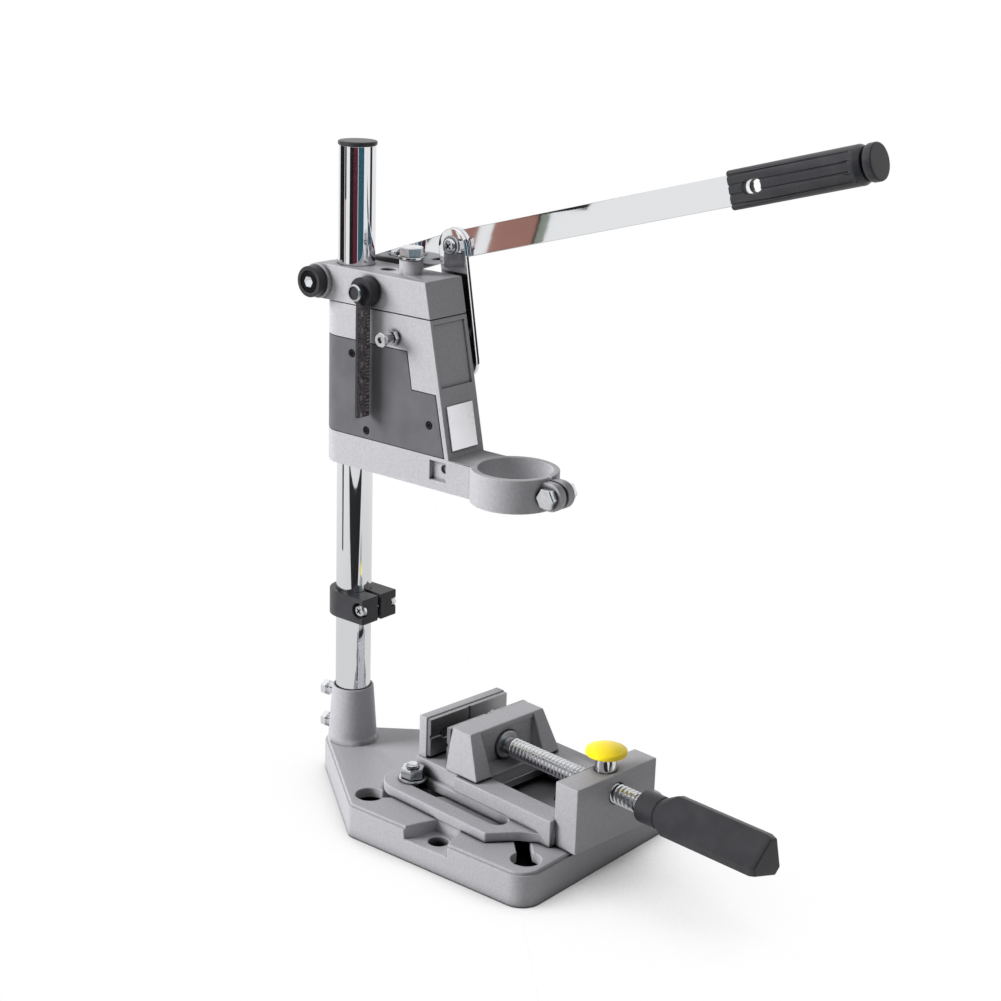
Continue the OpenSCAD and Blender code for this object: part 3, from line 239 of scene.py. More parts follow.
def worn_edges(tree, colour, wear_and_highlight, radius):
    """The colour gives way to a lighter one along the edges, within the radius: partly wear, partly a
    painted highlight.
    """
    rounded = tree.nodes.new("ShaderNodeBevel")
    rounded.samples = EDGE_SAMPLES
    rounded.inputs["Radius"].default_value = radius
    surface = tree.nodes.new("ShaderNodeNewGeometry")
    match = tree.nodes.new("ShaderNodeVectorMath")
    match.operation = "DOT_PRODUCT"
    tree.links.new(rounded.outputs["Normal"], match.inputs[0])
    tree.links.new(surface.outputs["Normal"], match.inputs[1])
    edge = tree.nodes.new("ShaderNodeMapRange")
    edge.inputs["From Min"].default_value = WEAR_AND_HIGHLIGHT_STARTS
    edge.inputs["From Max"].default_value = WEAR_AND_HIGHLIGHT_FULL
    tree.links.new(match.outputs["Value"], edge.inputs["Value"])
    blend = tree.nodes.new("ShaderNodeMix")
    blend.data_type = "RGBA"
    blend.inputs["B"].default_value = (*wear_and_highlight, 1)
    tree.links.new(edge.outputs["Result"], blend.inputs["Factor"])
    tree.links.new(colour, blend.inputs["A"])
    return blend.outputs["Result"]


def painted_casting():
    """Grey paint on cast aluminium, lighter along its edges from wear and a painted highlight, with
    painted shade in its corners and hollows.
    """
    material, tree, shader = finish_base("painted casting", (0.34, 0.335, 0.355), 0.42, metallic=0.06)
    grain = object_noise(tree, 700, detail=6)
    colour = colour_ramp(tree, grain, dark=(0.310, 0.305, 0.325), light=(0.372, 0.367, 0.388))
    # Lighter edges: partly worn paint, partly a painted highlight
    colour = worn_edges(tree, colour, (0.66, 0.66, 0.68), 0.7 * MM)
    # Painted shade in seams and tight corners, within 2.4 mm
    colour = dirty_seams(tree, colour, 2.4 * MM, shade_full_at=0.45, shade_gone_at=0.9)
    # Painted shade in slots, holes and between the vice's rails, within 14 mm
    colour = dirty_seams(tree, colour, 14 * MM, shade_full_at=0.36, shade_gone_at=0.58)
    tree.links.new(colour, shader.inputs["Base Color"])
    fine_relief(tree, shader, object_noise(tree, 1300, detail=2), 0.12 * MM)
    return material


def chrome_plate():
    """Bright chrome with a faint haze."""
    material, tree, shader = finish_base("chrome plate", (0.86, 0.87, 0.89), 0.06, metallic=1.0)
    vary_roughness(tree, shader, object_noise(tree, 90), 0.02, 0.05)
    return material


def zinc_steel():
    """Satin zinc on the screws, with painted shade down in the threads and recesses."""
    material, tree, shader = finish_base("zinc-plated steel", (0.72, 0.73, 0.75), 0.2, metallic=1.0)
    colour = colour_ramp(tree, object_noise(tree, 260), dark=(0.66, 0.67, 0.69), light=(0.78, 0.79, 0.81))
    # Painted shade in the threads and recesses
    colour = dirty_seams(tree, colour, 1.2 * MM, shade_full_at=0.4, shade_gone_at=0.92)
    tree.links.new(colour, shader.inputs["Base Color"])
    vary_roughness(tree, shader, object_noise(tree, 500), 0.16, 0.26)
    return material


def spring_steel():
    """Drawn wire of the springs."""
    material, tree, shader = finish_base("spring steel", (0.5, 0.5, 0.52), 0.3, metallic=1.0)
    vary_roughness(tree, shader, object_noise(tree, 500), 0.25, 0.36)
    return material


def ground_steel():
    """Ground steel of the jaw plates, with level grinding marks."""
    material, tree, shader = finish_base("ground steel", (0.36, 0.36, 0.37), 0.38, metallic=1.0)
    marks_along = object_noise(tree, 500, detail=2, stretch=(1, 1, 12))
    vary_colour(tree, shader, marks_along, dark=(0.30, 0.30, 0.31), light=(0.42, 0.42, 0.43))
    return material


def bush_steel():
    """Plain steel of the guide bushes."""
    material, tree, shader = finish_base("bush steel", (0.5, 0.5, 0.51), 0.32, metallic=1.0)
    vary_roughness(tree, shader, object_noise(tree, 300), 0.28, 0.38)
    return material


def black_plastic():
    """Black moulded plastic of the grips and knobs, with a fine grain and edges lightened by wear and a
    painted highlight.
    """
    material, tree, shader = finish_base("black plastic", (0.030, 0.030, 0.034), 0.36)
    shader.inputs["Specular IOR Level"].default_value = 0.3
    cloud = object_noise(tree, 90)
    colour = colour_ramp(tree, cloud, dark=(0.025, 0.025, 0.029), light=(0.036, 0.036, 0.040))
    # Lighter edges: partly wear, partly a painted highlight
    colour = worn_edges(tree, colour, (0.075, 0.075, 0.08), 0.5 * MM)
    tree.links.new(colour, shader.inputs["Base Color"])
    fine_relief(tree, shader, object_noise(tree, 2200, detail=2), 0.05 * MM)
    return material


def dark_plastic():
    """Dark grey plastic of the side covers, with edges lightened by wear and a painted highlight, and
    painted shade in its seams.
    """
    material, tree, shader = finish_base("dark grey plastic", (0.105, 0.105, 0.112), 0.48)
    shader.inputs["Specular IOR Level"].default_value = 0.35
    cloud = object_noise(tree, 80)
    colour = colour_ramp(tree, cloud, dark=(0.080, 0.080, 0.089), light=(0.100, 0.100, 0.110))
    # Lighter edges: partly wear, partly a painted highlight
    colour = worn_edges(tree, colour, (0.15, 0.15, 0.16), 0.4 * MM)
    # Painted shade in the seams round the covers
    colour = dirty_seams(tree, colour, 2.4 * MM, shade_full_at=0.45, shade_gone_at=0.9)
    tree.links.new(colour, shader.inputs["Base Color"])
    fine_relief(tree, shader, object_noise(tree, 2600, detail=2), 0.04 * MM)
    return material


def black_steel():
    """Oil-blackened steel of the small screws and the fulcrum bolt's head."""
    material, tree, shader = finish_base("blackened steel", (0.02, 0.02, 0.022), 0.4, metallic=0.6)
    vary_roughness(tree, shader, object_noise(tree, 600), 0.34, 0.46)
    return material


def label_plate():
    """Satin metal of the bare plate on the front."""
    material, tree, shader = finish_base("bare label plate", (0.93, 0.93, 0.96), 0.25, metallic=0.9)
    vary_colour(tree, shader, object_noise(tree, 60), dark=(0.91, 0.91, 0.95), light=(0.95, 0.95, 0.98))
    vary_roughness(tree, shader, object_noise(tree, 100), 0.22, 0.30)
    return material


def yellow_plastic():
    """Yellow plastic of the release button."""
    material, tree, shader = finish_base("yellow plastic", (0.98, 0.74, 0.01), 0.36)
    vary_colour(tree, shader, object_noise(tree, 70), dark=(0.95, 0.70, 0.006), light=(1.0, 0.78, 0.01))
    fine_relief(tree, shader, object_noise(tree, 1500, detail=2), 0.03 * MM)
    return material


def scale_face():
    """The depth scale's face, mottled where its black has rubbed off."""
    material, tree, shader = finish_base("scale face", (0.05, 0.045, 0.05), 0.5)
    mottle = object_noise(tree, 650, detail=4)
    vary_colour(tree, shader, mottle, dark=(0.03, 0.027, 0.03), light=(0.20, 0.18, 0.19))
    return material


def scale_ink():
    """The pale, rubbed marks and numbers of the depth scale."""
    material, tree, shader = finish_base("scale marks", (0.45, 0.43, 0.44), 0.5)
    rubbed = object_noise(tree, 1200, detail=4)
    vary_colour(tree, shader, rubbed, dark=(0.22, 0.20, 0.21), light=(0.60, 0.58, 0.60))
    return material


FINISHES = {
    "painted_grey": painted_casting(),
    "chrome_plate": chrome_plate(),
    "black_plastic": black_plastic(),
    "zinc_steel": zinc_steel(),
    "spring_steel": spring_steel(),
    "dark_plastic": dark_plastic(),
    "black_steel": black_steel(),
    "bush_steel": bush_steel(),
    "label_plate": label_plate(),
    "ground_steel": ground_steel(),
    "yellow_plastic": yellow_plastic(),
}
SCALE_FACE = scale_face()
SCALE_INK = scale_ink()
PARTS = {part["node"]: part for part in frame["record"]["subparts"]}


def dress_cad_nodes():
    """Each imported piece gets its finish."""
    for name, piece in nodes.items():
        for holder in piece.material_slots:
            holder.material = FINISHES[PARTS[name]["material_slot"]]


def body_of(node):
    """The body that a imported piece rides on."""
    return next(name for name, empty in frame["bodies"].items() if empty == nodes[node].parent)


# Tools for the new pieces

SMOOTH_TURN = math.radians(35)
KNOB_SMOOTH_TURN = math.radians(25)
RIDGE_STEPS = 24
# Shares of a thread's height: the radius of its three-sided section, and how far out that lies
RIDGE_SECTION_SHARE = 0.72
RIDGE_MIDDLE_SHARE = 0.3
RIDGE_MERGE = 0.005 * MM


def settle(name, body, slot, at=UPRIGHT, stands_for=(), finish=None):
    """The active piece gets its name, place, finish and body, and its object ends at the origin."""
    piece = bpy.context.active_object
    piece.name = name
    piece.data.name = name
    bpy.ops.object.select_all(action="DESELECT")
    piece.select_set(True)
    bpy.ops.object.transform_apply(location=True, rotation=True, scale=True)
    piece.data.transform(at)
    piece.data.materials.clear()
    piece.data.materials.append(finish or FINISHES[slot])
    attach(piece, body)
    for node in stands_for:
        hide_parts(node)
    bpy.ops.object.select_all(action="DESELECT")
    return piece


def apply_modifiers():
    """The active piece's modifiers become part of its mesh."""
    piece = bpy.context.active_object
    for modifier in list(piece.modifiers):
        bpy.ops.object.modifier_apply(modifier=modifier.name)


def smooth(turn=SMOOTH_TURN):
    """Smooth shading up to the turn, with the flat faces kept flat."""
    bpy.ops.object.shade_smooth_by_angle(angle=turn)
    weights = bpy.context.active_object.modifiers.new("weights", "WEIGHTED_NORMAL")
    weights.keep_sharp = True
    apply_modifiers()


def choose(piece):
    """The piece alone is selected and active."""
    bpy.ops.object.select_all(action="DESELECT")
    bpy.context.view_layer.objects.active = piece
    piece.select_set(True)


def joined(*made):
    """The pieces become one, which is active."""
    choose(made[0])
    for piece in made:
        piece.select_set(True)
    bpy.ops.object.join()
    return bpy.context.active_object


def turned(sides, rings, turn=0.0):
    """A closed solid along Z through rings of (height, radius) in millimetres."""
    bpy.ops.object.select_all(action="DESELECT")
    height, radius = rings[0]
    bpy.ops.mesh.primitive_circle_add(vertices=sides, radius=radius * MM, fill_type="NGON",
                                      location=(0, 0, height * MM), rotation=(0, 0, turn))
    bpy.ops.object.transform_apply(location=True, rotation=True, scale=True)
    bpy.ops.object.mode_set(mode="EDIT")
    bpy.ops.mesh.select_all(action="SELECT")
    for next_height, next_radius in rings[1:]:
        bpy.ops.mesh.extrude_region_move(
            TRANSFORM_OT_translate={"value": (0, 0, (next_height - height) * MM)})
        share = next_radius / radius
        bpy.ops.transform.resize(value=(share, share, 1), center_override=(0, 0, next_height * MM))
        height, radius = next_height, next_radius
    bpy.ops.mesh.select_all(action="SELECT")
    bpy.ops.mesh.normals_make_consistent(inside=False)
    bpy.ops.object.mode_set(mode="OBJECT")
    return bpy.context.active_object


def cut_out(piece, tool):
    """The tool's shape is cut out of the piece, and the tool goes."""
    choose(piece)
    cut = piece.modifiers.new("cut", "BOOLEAN")
    cut.operation = "DIFFERENCE"
    cut.solver = "EXACT"
    cut.object = tool
    bpy.ops.object.modifier_apply(modifier=cut.name)
    bpy.data.objects.remove(tool)
    choose(piece)


def thread_ridge(radius, root, pitch, start, end):
    """A ridge wound round a rod along Z, in millimetres."""
    height = radius - root
    middle = (root + height * RIDGE_MIDDLE_SHARE) * MM
    bpy.ops.object.select_all(action="DESELECT")
    section = height * RIDGE_SECTION_SHARE * MM
    bpy.ops.mesh.primitive_circle_add(vertices=3, radius=section, fill_type="NGON",
                                      location=(middle, 0, start * MM), rotation=(math.pi / 2, 0, 0))
    piece = bpy.context.active_object
    bpy.ops.object.transform_apply(location=True, rotation=True, scale=True)
    bpy.ops.object.mode_set(mode="EDIT")
    bpy.ops.mesh.select_all(action="SELECT")
    bpy.ops.transform.rotate(value=-math.pi / 2, orient_axis="Y", center_override=(middle, 0, start * MM))
    bpy.ops.object.mode_set(mode="OBJECT")
    winding = piece.modifiers.new("winding", "SCREW")
    winding.axis = "Z"
    winding.screw_offset = pitch * MM
    winding.iterations = max(1, int((end - start) / pitch))
    winding.steps = RIDGE_STEPS
    winding.render_steps = RIDGE_STEPS
    apply_modifiers()
    bpy.ops.object.mode_set(mode="EDIT")
    bpy.ops.mesh.select_all(action="SELECT")
    bpy.ops.mesh.remove_doubles(threshold=RIDGE_MERGE)
    bpy.ops.mesh.fill_holes(sides=3)
    bpy.ops.mesh.normals_make_consistent(inside=False)
    bpy.ops.object.mode_set(mode="OBJECT")
    return piece


# Rounded edges on the castings, plates, covers, grips and washers, in millimetres

EDGE_WIDTHS = {
    "base_plate": 0.7, "head_block": 0.7, "carriage_body": 0.6, "vice_body": 0.7, "moving_jaw": 0.7,
    "column": 0.4, "column_cap": 0.7, "fulcrum_ring": 0.6, "rod_washer": 0.3, "fulcrum_washer": 0.3,
    "vice_washer": 0.3, "pivot_washer": 0.2, "left_cover": 0.6, "right_cover": 0.6, "front_plate": 0.15,
    "pull_plate": 0.4, "lever_bar": 0.4, "lever_grip": 0.3, "grip_cap": 0.9, "stop_ring": 0.5,
    "fixed_jaw_plate": 0.3, "moving_jaw_plate": 0.3, "jaw_keeper": 0.4, "screw_collar": 0.5,
    "vice_handle": 0.8, "release_button": 0.7, "release_stem": 0.3, "depth_scale": 0.3,
}
SHARP_TURN = math.radians(30)
COPY_MERGE = 0.004 * MM


def rounded_copy(node, width):
    """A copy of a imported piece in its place, with its outer edges rounded."""
    piece = bpy.data.objects.new(node, nodes[node].data.copy())
    bpy.context.scene.collection.objects.link(piece)
    choose(piece)
    bpy.ops.object.mode_set(mode="EDIT")
    bpy.ops.mesh.select_all(action="SELECT")
    bpy.ops.mesh.remove_doubles(threshold=COPY_MERGE)
    bpy.ops.mesh.select_mode(type="EDGE")
    bpy.ops.mesh.select_all(action="DESELECT")
    mesh = bmesh.from_edit_mesh(piece.data)
    for edge in mesh.edges:
        outer = len(edge.link_faces) == 2 and edge.calc_face_angle_signed(0) > SHARP_TURN
        edge.select_set(outer)
    bmesh.update_edit_mesh(piece.data)
    bpy.ops.mesh.bevel(offset=width * MM, offset_type="OFFSET", segments=2, profile=0.5, affect="EDGES",
                       clamp_overlap=False, loop_slide=False, miter_outer="ARC")
    bpy.ops.object.mode_set(mode="OBJECT")
    smooth()
    settle(f"{node}_rounded", body_of(node), PARTS[node]["material_slot"], stands_for=(node,))


# Screws, bolts and nuts, in millimetres. A head or nut seats at Z nought, and a shank runs down from it.

OVERRUN = 1.0
SHANK_IN_HEAD = 0.3
NUT_PLAY = 0.05
BOLT_SIDES = 48
SMALL_HEAD_SIDES = 32
SMALL_SHANK_SIDES = 24
# The pitch of each thread, by its radius
PITCHES = {2.2: 0.8, 2.5: 0.8, 3.0: 1.0, 3.5: 1.0, 4.0: 1.25}
# Shares of the pitch: the thread's depth, the tip's taper, and where the ridge starts and stops
DEPTH_SHARE = 0.6
TAPER_SHARE = 0.3
RIDGE_START_SHARE = 0.4
RIDGE_STOP_SHARE = 0.5
# The tip's share of the radius at the thread's root
TIP_SHARE = 0.8
# Shares of a pan head's height and radius, from its seat to its top
PAN_SHARES = ((0, 1), (0.4, 1), (0.75, 0.88), (1, 0.6))
NUT_CHAMFER_SHARE = 0.12
NUT_CORNER_SHARE = 0.93
# Half widths of a cross recess at its floor and above the head, before it is stretched to size
CROSS_FLOOR = 0.5
CROSS_TOP = 0.8


def hex_radius(flats):
    """The corner radius of a hexagon of that size across its flats."""
    return flats / math.sqrt(3)


def pan_head(radius, height):
    """The rings of a low domed head."""
    return tuple((up * height, out * radius) for up, out in PAN_SHARES)


def flat_head(radius, height, chamfer):
    """The rings of a head with a chamfered rim."""
    return (0, radius), (height - chamfer, radius), (height, radius - chamfer)


def hex_head(flats, height, chamfer, corner_share=0.92):
    """The rings of a hexagon head with chamfered corners."""
    radius = hex_radius(flats)
    return (0, radius), (height - chamfer, radius), (height, corner_share * radius)


def cut_hexagon(head, flats, height, depth):
    """A hexagon recess in the top of a head."""
    cut_out(head, turned(6, ((height - depth, hex_radius(flats)), (height + OVERRUN, hex_radius(flats)))))


def cut_cross(head, width, reach, height, depth):
    """Two crossed slots in the top of a head, narrower at their floor."""
    for turn in (0, math.pi / 2):
        tool = turned(4, ((height - depth, CROSS_FLOOR), (height + OVERRUN, CROSS_TOP)), math.pi / 4)
        tool.scale = (reach, width, 1)
        choose(tool)
        bpy.ops.object.transform_apply(location=True, rotation=True, scale=True)
        tool.rotation_euler = (0, 0, turn + math.pi / 4)
        bpy.ops.object.transform_apply(location=True, rotation=True, scale=True)
        cut_out(head, tool)


def threaded_shank(radius, length, threaded):
    """A shank down from Z nought, with a thread on its last stretch."""
    pitch = PITCHES[radius]
    root = radius - DEPTH_SHARE * pitch
    foot = -length
    thread_top = foot + threaded
    rod = turned(BOLT_SIDES, ((foot, TIP_SHARE * root), (foot + TAPER_SHARE * pitch, root),
                              (thread_top, root), (thread_top, radius), (SHANK_IN_HEAD, radius)))
    ridge = thread_ridge(radius, root, pitch, foot + RIDGE_START_SHARE * pitch,
                         thread_top - RIDGE_STOP_SHARE * pitch)
    return joined(rod, ridge)


def finish_screw(name, body, at, made, stands_for, slot="zinc_steel"):
    """The parts of a screw are joined, smoothed and put in place."""
    joined(*made)
    smooth()
    return settle(name, body, slot, at, (stands_for,))


def at_yz(x, yz, turn):
    """The place of a piece on a cross axis, turned to lie along it."""
    return Matrix.Translation((x * MM, yz[0] * MM, yz[1] * MM)) @ turn


def at_height(xy, z):
    """The place of an upright piece."""
    return Matrix.Translation((xy[0] * MM, xy[1] * MM, z * MM))


def hex_nut(node, body, at, flats, thickness, thread):
    """A hexagon nut with chamfered corners, up from Z nought."""
    radius = hex_radius(flats)
    chamfer = NUT_CHAMFER_SHARE * thickness
    bore = thread + NUT_PLAY
    nut = turned(6, ((0, NUT_CORNER_SHARE * radius), (chamfer, radius), (thickness - chamfer, radius),
                     (thickness, NUT_CORNER_SHARE * radius)))
    cut_out(nut, turned(BOLT_SIDES, ((-OVERRUN, bore), (thickness + OVERRUN, bore))))
    smooth()
    settle(f"{node}_chamfered", body, PARTS[node]["material_slot"], at, (node,))


def blacken_head(bolt, seat, recess):
    """A bolt's head takes the black finish outside its bright recess."""
    bolt.data.materials.append(FINISHES["black_steel"])
    bolt.data.materials.append(FINISHES["chrome_plate"])
    for face in bolt.data.polygons:
        from_axis = math.dist(face.center[1:], (FULCRUM_YZ[0] * MM, FULCRUM_YZ[1] * MM))
        if face.center.x < seat * MM:
            face.material_index = 1 if from_axis > recess * MM else 2


def fulcrum_fittings():
    """The cross bolt with its socket head, and its nut beside the lever."""
    height = 4.95
    head = turned(BOLT_SIDES, flat_head(radius=6.2, height=height, chamfer=0.5))
    cut_hexagon(head, flats=6.0, height=height, depth=3.0)
    shank = threaded_shank(radius=4.0, length=55.7, threaded=10.0)
    at = at_yz(FULCRUM_HEAD_X, FULCRUM_YZ, AGAINST_X)
    bolt = finish_screw("fulcrum_bolt_socket_head", "head", at, (head, shank), "fulcrum_bolt")
    blacken_head(bolt, seat=-20.2, recess=3.3)
    nut_at = at_yz(FULCRUM_NUT_X, FULCRUM_YZ, ALONG_X)
    hex_nut("fulcrum_nut", "head", nut_at, flats=13.0, thickness=6.0, thread=4.0)


def pivot_fittings():
    """The cross-head screw and the nut that join the pull plate and the lever."""
    height = 2.1
    head = turned(BOLT_SIDES, pan_head(radius=4.4, height=height))
    cut_cross(head, width=1.2, reach=4.6, height=height, depth=1.3)
    shank = threaded_shank(radius=3.0, length=14.2, threaded=6.2)
    at = at_yz(PIVOT_HEAD_X, PIVOT_YZ, AGAINST_X)
    finish_screw("pivot_screw_cross_head", "carriage", at, (head, shank), "pivot_screw")
    nut_at = at_yz(PIVOT_NUT_X, PIVOT_YZ, ALONG_X)
    hex_nut("pivot_nut", "carriage", nut_at, flats=10.0, thickness=5.0, thread=3.0)


def collar_fittings():
    """The bolt and nut through the tool collar's ears."""
    head = turned(6, hex_head(flats=11, height=4.6, chamfer=0.6))
    shank = threaded_shank(radius=3.5, length=19.6, threaded=7.5)
    at = at_yz(-EAR_X, EAR_YZ, AGAINST_X)
    finish_screw("collar_bolt_hex_head", "carriage", at, (head, shank), "collar_bolt")
    nut_at = at_yz(EAR_X, EAR_YZ, ALONG_X)
    hex_nut("collar_nut", "carriage", nut_at, flats=11.0, thickness=5.0, thread=3.5)


PIN_ROD_RINGS = ((-15.9, 2.3), (-15.5, 2.5), (-10.4, 2.5), (-10.4, 2.9), (SHANK_IN_HEAD, 2.9))
PIN_NUT_RINGS = ((-10.35, 4.3), (-9.9, 4.62), (-7.4, 4.62), (-7.0, 4.3))


def depth_pin():
    """The scale's pointer: a threaded pin with a socket head and a locknut."""
    height = 2.2
    head = turned(BOLT_SIDES, flat_head(radius=4.3, height=height, chamfer=0.5))
    cut_hexagon(head, flats=3.6, height=height, depth=1.5)
    rod = turned(BOLT_SIDES, PIN_ROD_RINGS)
    ridge = thread_ridge(radius=3.3, root=2.9, pitch=0.9, start=-6.8, end=-0.6)
    locknut = turned(6, PIN_NUT_RINGS)
    at = at_yz(PIN_HEAD_X, PIN_YZ, AGAINST_X)
    finish_screw("depth_pin_threaded", "carriage", at, (head, rod, ridge, locknut), "depth_pin")


def stop_fittings():
    """The screw and nut that clamp the stop ring on the column."""
    height = 3.0
    head = turned(BOLT_SIDES, pan_head(radius=4.2, height=height))
    cut_cross(head, width=1.2, reach=4.4, height=height, depth=1.6)
    shank = threaded_shank(radius=2.5, length=26.6, threaded=6.0)
    at = at_yz(STOP_HEAD_X, STOP_YZ, AGAINST_X)
    finish_screw("stop_screw_cross_head", "stop", at, (head, shank), "stop_screw")
    nut_at = at_yz(STOP_NUT_X, STOP_YZ, ALONG_X)
    hex_nut("stop_nut", "stop", nut_at, flats=8.0, thickness=3.8, thread=2.5)


def column_screws():
    """The two set screws in the back of the column's socket."""
    made = []
    for height in SET_SCREW_HEIGHTS:
        head = turned(6, hex_head(flats=9, height=4.0, chamfer=0.5))
        rod = turned(BOLT_SIDES, ((-9.5, 2.5), (SHANK_IN_HEAD, 2.5)))
        ridge = thread_ridge(radius=3.0, root=2.5, pitch=1.0, start=-9.4, end=-0.4)
        screw = joined(head, rod, ridge)
        screw.data.transform(at_height((0, SOCKET_BACK_Y), height) @ ALONG_Y)
        made.append(screw)
    finish_screw("column_screws_threaded", "base", UPRIGHT, made, "column_screws", "chrome_plate")


def cover_screws():
    """The small black screws of both side covers."""
    made = []
    height = 1.2
    for side, turn in ((-1, AGAINST_X), (1, ALONG_X)):
        for yz in COVER_SCREW_YZ:
            head = turned(SMALL_HEAD_SIDES, pan_head(radius=2.3, height=height))
            cut_cross(head, width=0.7, reach=2.4, height=height, depth=0.7)
            shank = turned(SMALL_SHANK_SIDES, ((-4.2, 1.1), (SHANK_IN_HEAD, 1.3)))
            screw = joined(head, shank)
            screw.data.transform(at_yz(side * COVER_X, yz, turn))
            made.append(screw)
    finish_screw("cover_screws_cross_heads", "carriage", UPRIGHT, made, "cover_screws", "black_steel")


def plate_screws():
    """The screws that hold the pull plate on the carriage."""
    made = []
    height = 2.6
    for yz in PLATE_SCREW_YZ:
        head = turned(BOLT_SIDES, pan_head(radius=4.2, height=height))
        cut_cross(head, width=1.1, reach=4.4, height=height, depth=1.5)
        screw = joined(head, threaded_shank(radius=2.2, length=15.3, threaded=8.0))
        screw.data.transform(at_yz(PLATE_X, yz, ALONG_X))
        made.append(screw)
    finish_screw("plate_screws_cross_heads", "carriage", UPRIGHT, made, "plate_screws")


def vice_bolt_fittings():
    """The bolt up through the base and the vice's flange, with its thread on top, and its nut."""
    length = 23.2
    flats = 13.0
    head_bottom = -28.2
    chamfer_top = -27.6
    chamfer_share = 0.94
    shank = threaded_shank(radius=4.0, length=length, threaded=10.5)
    shank.data.transform(UPSIDE_DOWN @ Matrix.Translation((0, 0, length * MM)))
    head = turned(6, ((head_bottom, chamfer_share * hex_radius(flats)), (chamfer_top, hex_radius(flats)),
                      (-length, hex_radius(flats))))
    at = at_height(VICE_BOLT_XY, VICE_BOLT_TOP_Z)
    finish_screw("vice_bolt_threaded", "base", at, (head, shank), "vice_bolt")
    nut_at = at_height(VICE_BOLT_XY, VICE_NUT_Z)
    hex_nut("vice_nut", "base", nut_at, flats=flats, thickness=6.4, thread=4.0)


def guide_rod_fittings():
    """The guide rod with its hexagon head on the boss, and the nut at its foot."""
    head = turned(6, hex_head(flats=12.4, height=5.5, chamfer=0.6, corner_share=0.9))
    shank = threaded_shank(radius=4.0, length=126.8, threaded=8.0)
    at = at_height((0, ROD_Y), ROD_HEAD_Z)
    finish_screw("guide_rod_hex_head", "head", at, (head, shank), "guide_rod")
    nut_at = at_height((0, ROD_Y), ROD_NUT_Z)
    hex_nut("rod_nut", "head", nut_at, flats=12.4, thickness=4.2, thread=4.0)


# The lead screw of the vice, with its thread and its riveted neck

SCREW_Z = 49.4
SCREW_RINGS = ((-88.9, 5.15), (87.8, 5.15), (87.8, 3.6), (92.4, 3.6), (92.4, 5.0), (94.9, 5.0),
               (95.4, 4.4))


def lead_screw():
    """The rod along the vice, with a coarse thread between its handle and its neck."""
    rod = turned(BOLT_SIDES, SCREW_RINGS)
    ridge = thread_ridge(radius=6.0, root=5.15, pitch=2.8, start=-32.0, end=85.5)
    at = VICE @ at_height((0, 0), SCREW_Z) @ ALONG_Y
    finish_screw("lead_screw_threaded", "spindle", at, (rod, ridge), "lead_screw")


# The depth scale, its knob and its marks, in millimetres

KNOB_RINGS = ((0, 3.0), (15.9, 3.0), (15.9, 4.6), (16.3, 5.0), (20.8, 5.0), (21.5, 4.5), (21.5, 3.9),
              (20.7, 3.8))
# The bright rim of the knob's end starts here, along X and out from its axis
RIM_X = -29.0
RIM_R = 4.1
# How far below the knob's axis the strip's flat face begins, and how a face that looks to the front tilts
EYE_FOOT = 8
TO_THE_FRONT = -0.9
SCALE_FACE_Y = 97.3
SCALE_LEFT_X = -28.2
SCALE_RIGHT_X = -17.7
SCALE_ZERO = 304.0
SCALE_LENGTH = 60
FINE_STEP = 2
NUMBERED_STEP = 10
FINE_MARK = 2.4
NUMBERED_MARK = 4.2
MARK_INSET = 0.6
MARK_T = 0.12
MARK_W = 0.4
NUMERAL_INSET = 3.4
NUMERAL_SIZE = 4.4


def mottled_scale_face():
    """The strip's front face takes the mottled finish below its eye."""
    strip = bpy.data.objects["depth_scale_rounded"]
    strip.data.materials.append(SCALE_FACE)
    for face in strip.data.polygons:
        if face.normal.y < TO_THE_FRONT and face.center.z < (KNOB_YZ[1] - EYE_FOOT) * MM:
            face.material_index = 1


def scale_knob():
    """The knob on its pin, with a dished end and a bright rim."""
    turned(BOLT_SIDES, KNOB_RINGS)
    smooth(KNOB_SMOOTH_TURN)
    at = at_yz(KNOB_X, KNOB_YZ, AGAINST_X)
    knob = settle("scale_knob_dished", "knob", "black_plastic", at, ("scale_knob",))
    knob.data.materials.append(FINISHES["zinc_steel"])
    for face in knob.data.polygons:
        from_axis = (face.center.yz - Vector(KNOB_YZ) * MM).length
        if face.center.x < RIM_X * MM and from_axis > RIM_R * MM:
            face.material_index = 1


def marks(step, length):
    """A column of level marks down the scale's right side, one at each step."""
    middle_x = SCALE_RIGHT_X - MARK_INSET - length / 2
    bpy.ops.object.select_all(action="DESELECT")
    bpy.ops.mesh.primitive_cube_add(
        size=1, location=(middle_x * MM, (SCALE_FACE_Y - MARK_T / 2) * MM, SCALE_ZERO * MM))
    mark = bpy.context.active_object
    mark.scale = (length * MM, MARK_T * MM, MARK_W * MM)
    bpy.ops.object.transform_apply(location=True, rotation=True, scale=True)
    row = mark.modifiers.new("row", "ARRAY")
    row.count = SCALE_LENGTH // step + 1
    row.use_relative_offset = False
    row.use_constant_offset = True
    row.constant_offset_displace = (0, 0, -step * MM)
    apply_modifiers()
    return mark


def numeral(value, x, z):
    """A plain number on the scale's face."""
    bpy.ops.object.select_all(action="DESELECT")
    bpy.ops.object.text_add(location=(x * MM, SCALE_FACE_Y * MM, z * MM), rotation=(math.pi / 2, 0, 0))
    words = bpy.context.active_object
    words.data.body = str(value)
    words.data.size = NUMERAL_SIZE * MM
    words.data.extrude = MARK_T * MM
    words.data.align_x = "CENTER"
    words.data.align_y = "CENTER"
    bpy.ops.object.convert(target="MESH")
    bpy.ops.object.transform_apply(location=True, rotation=True, scale=True)
    return bpy.context.active_object


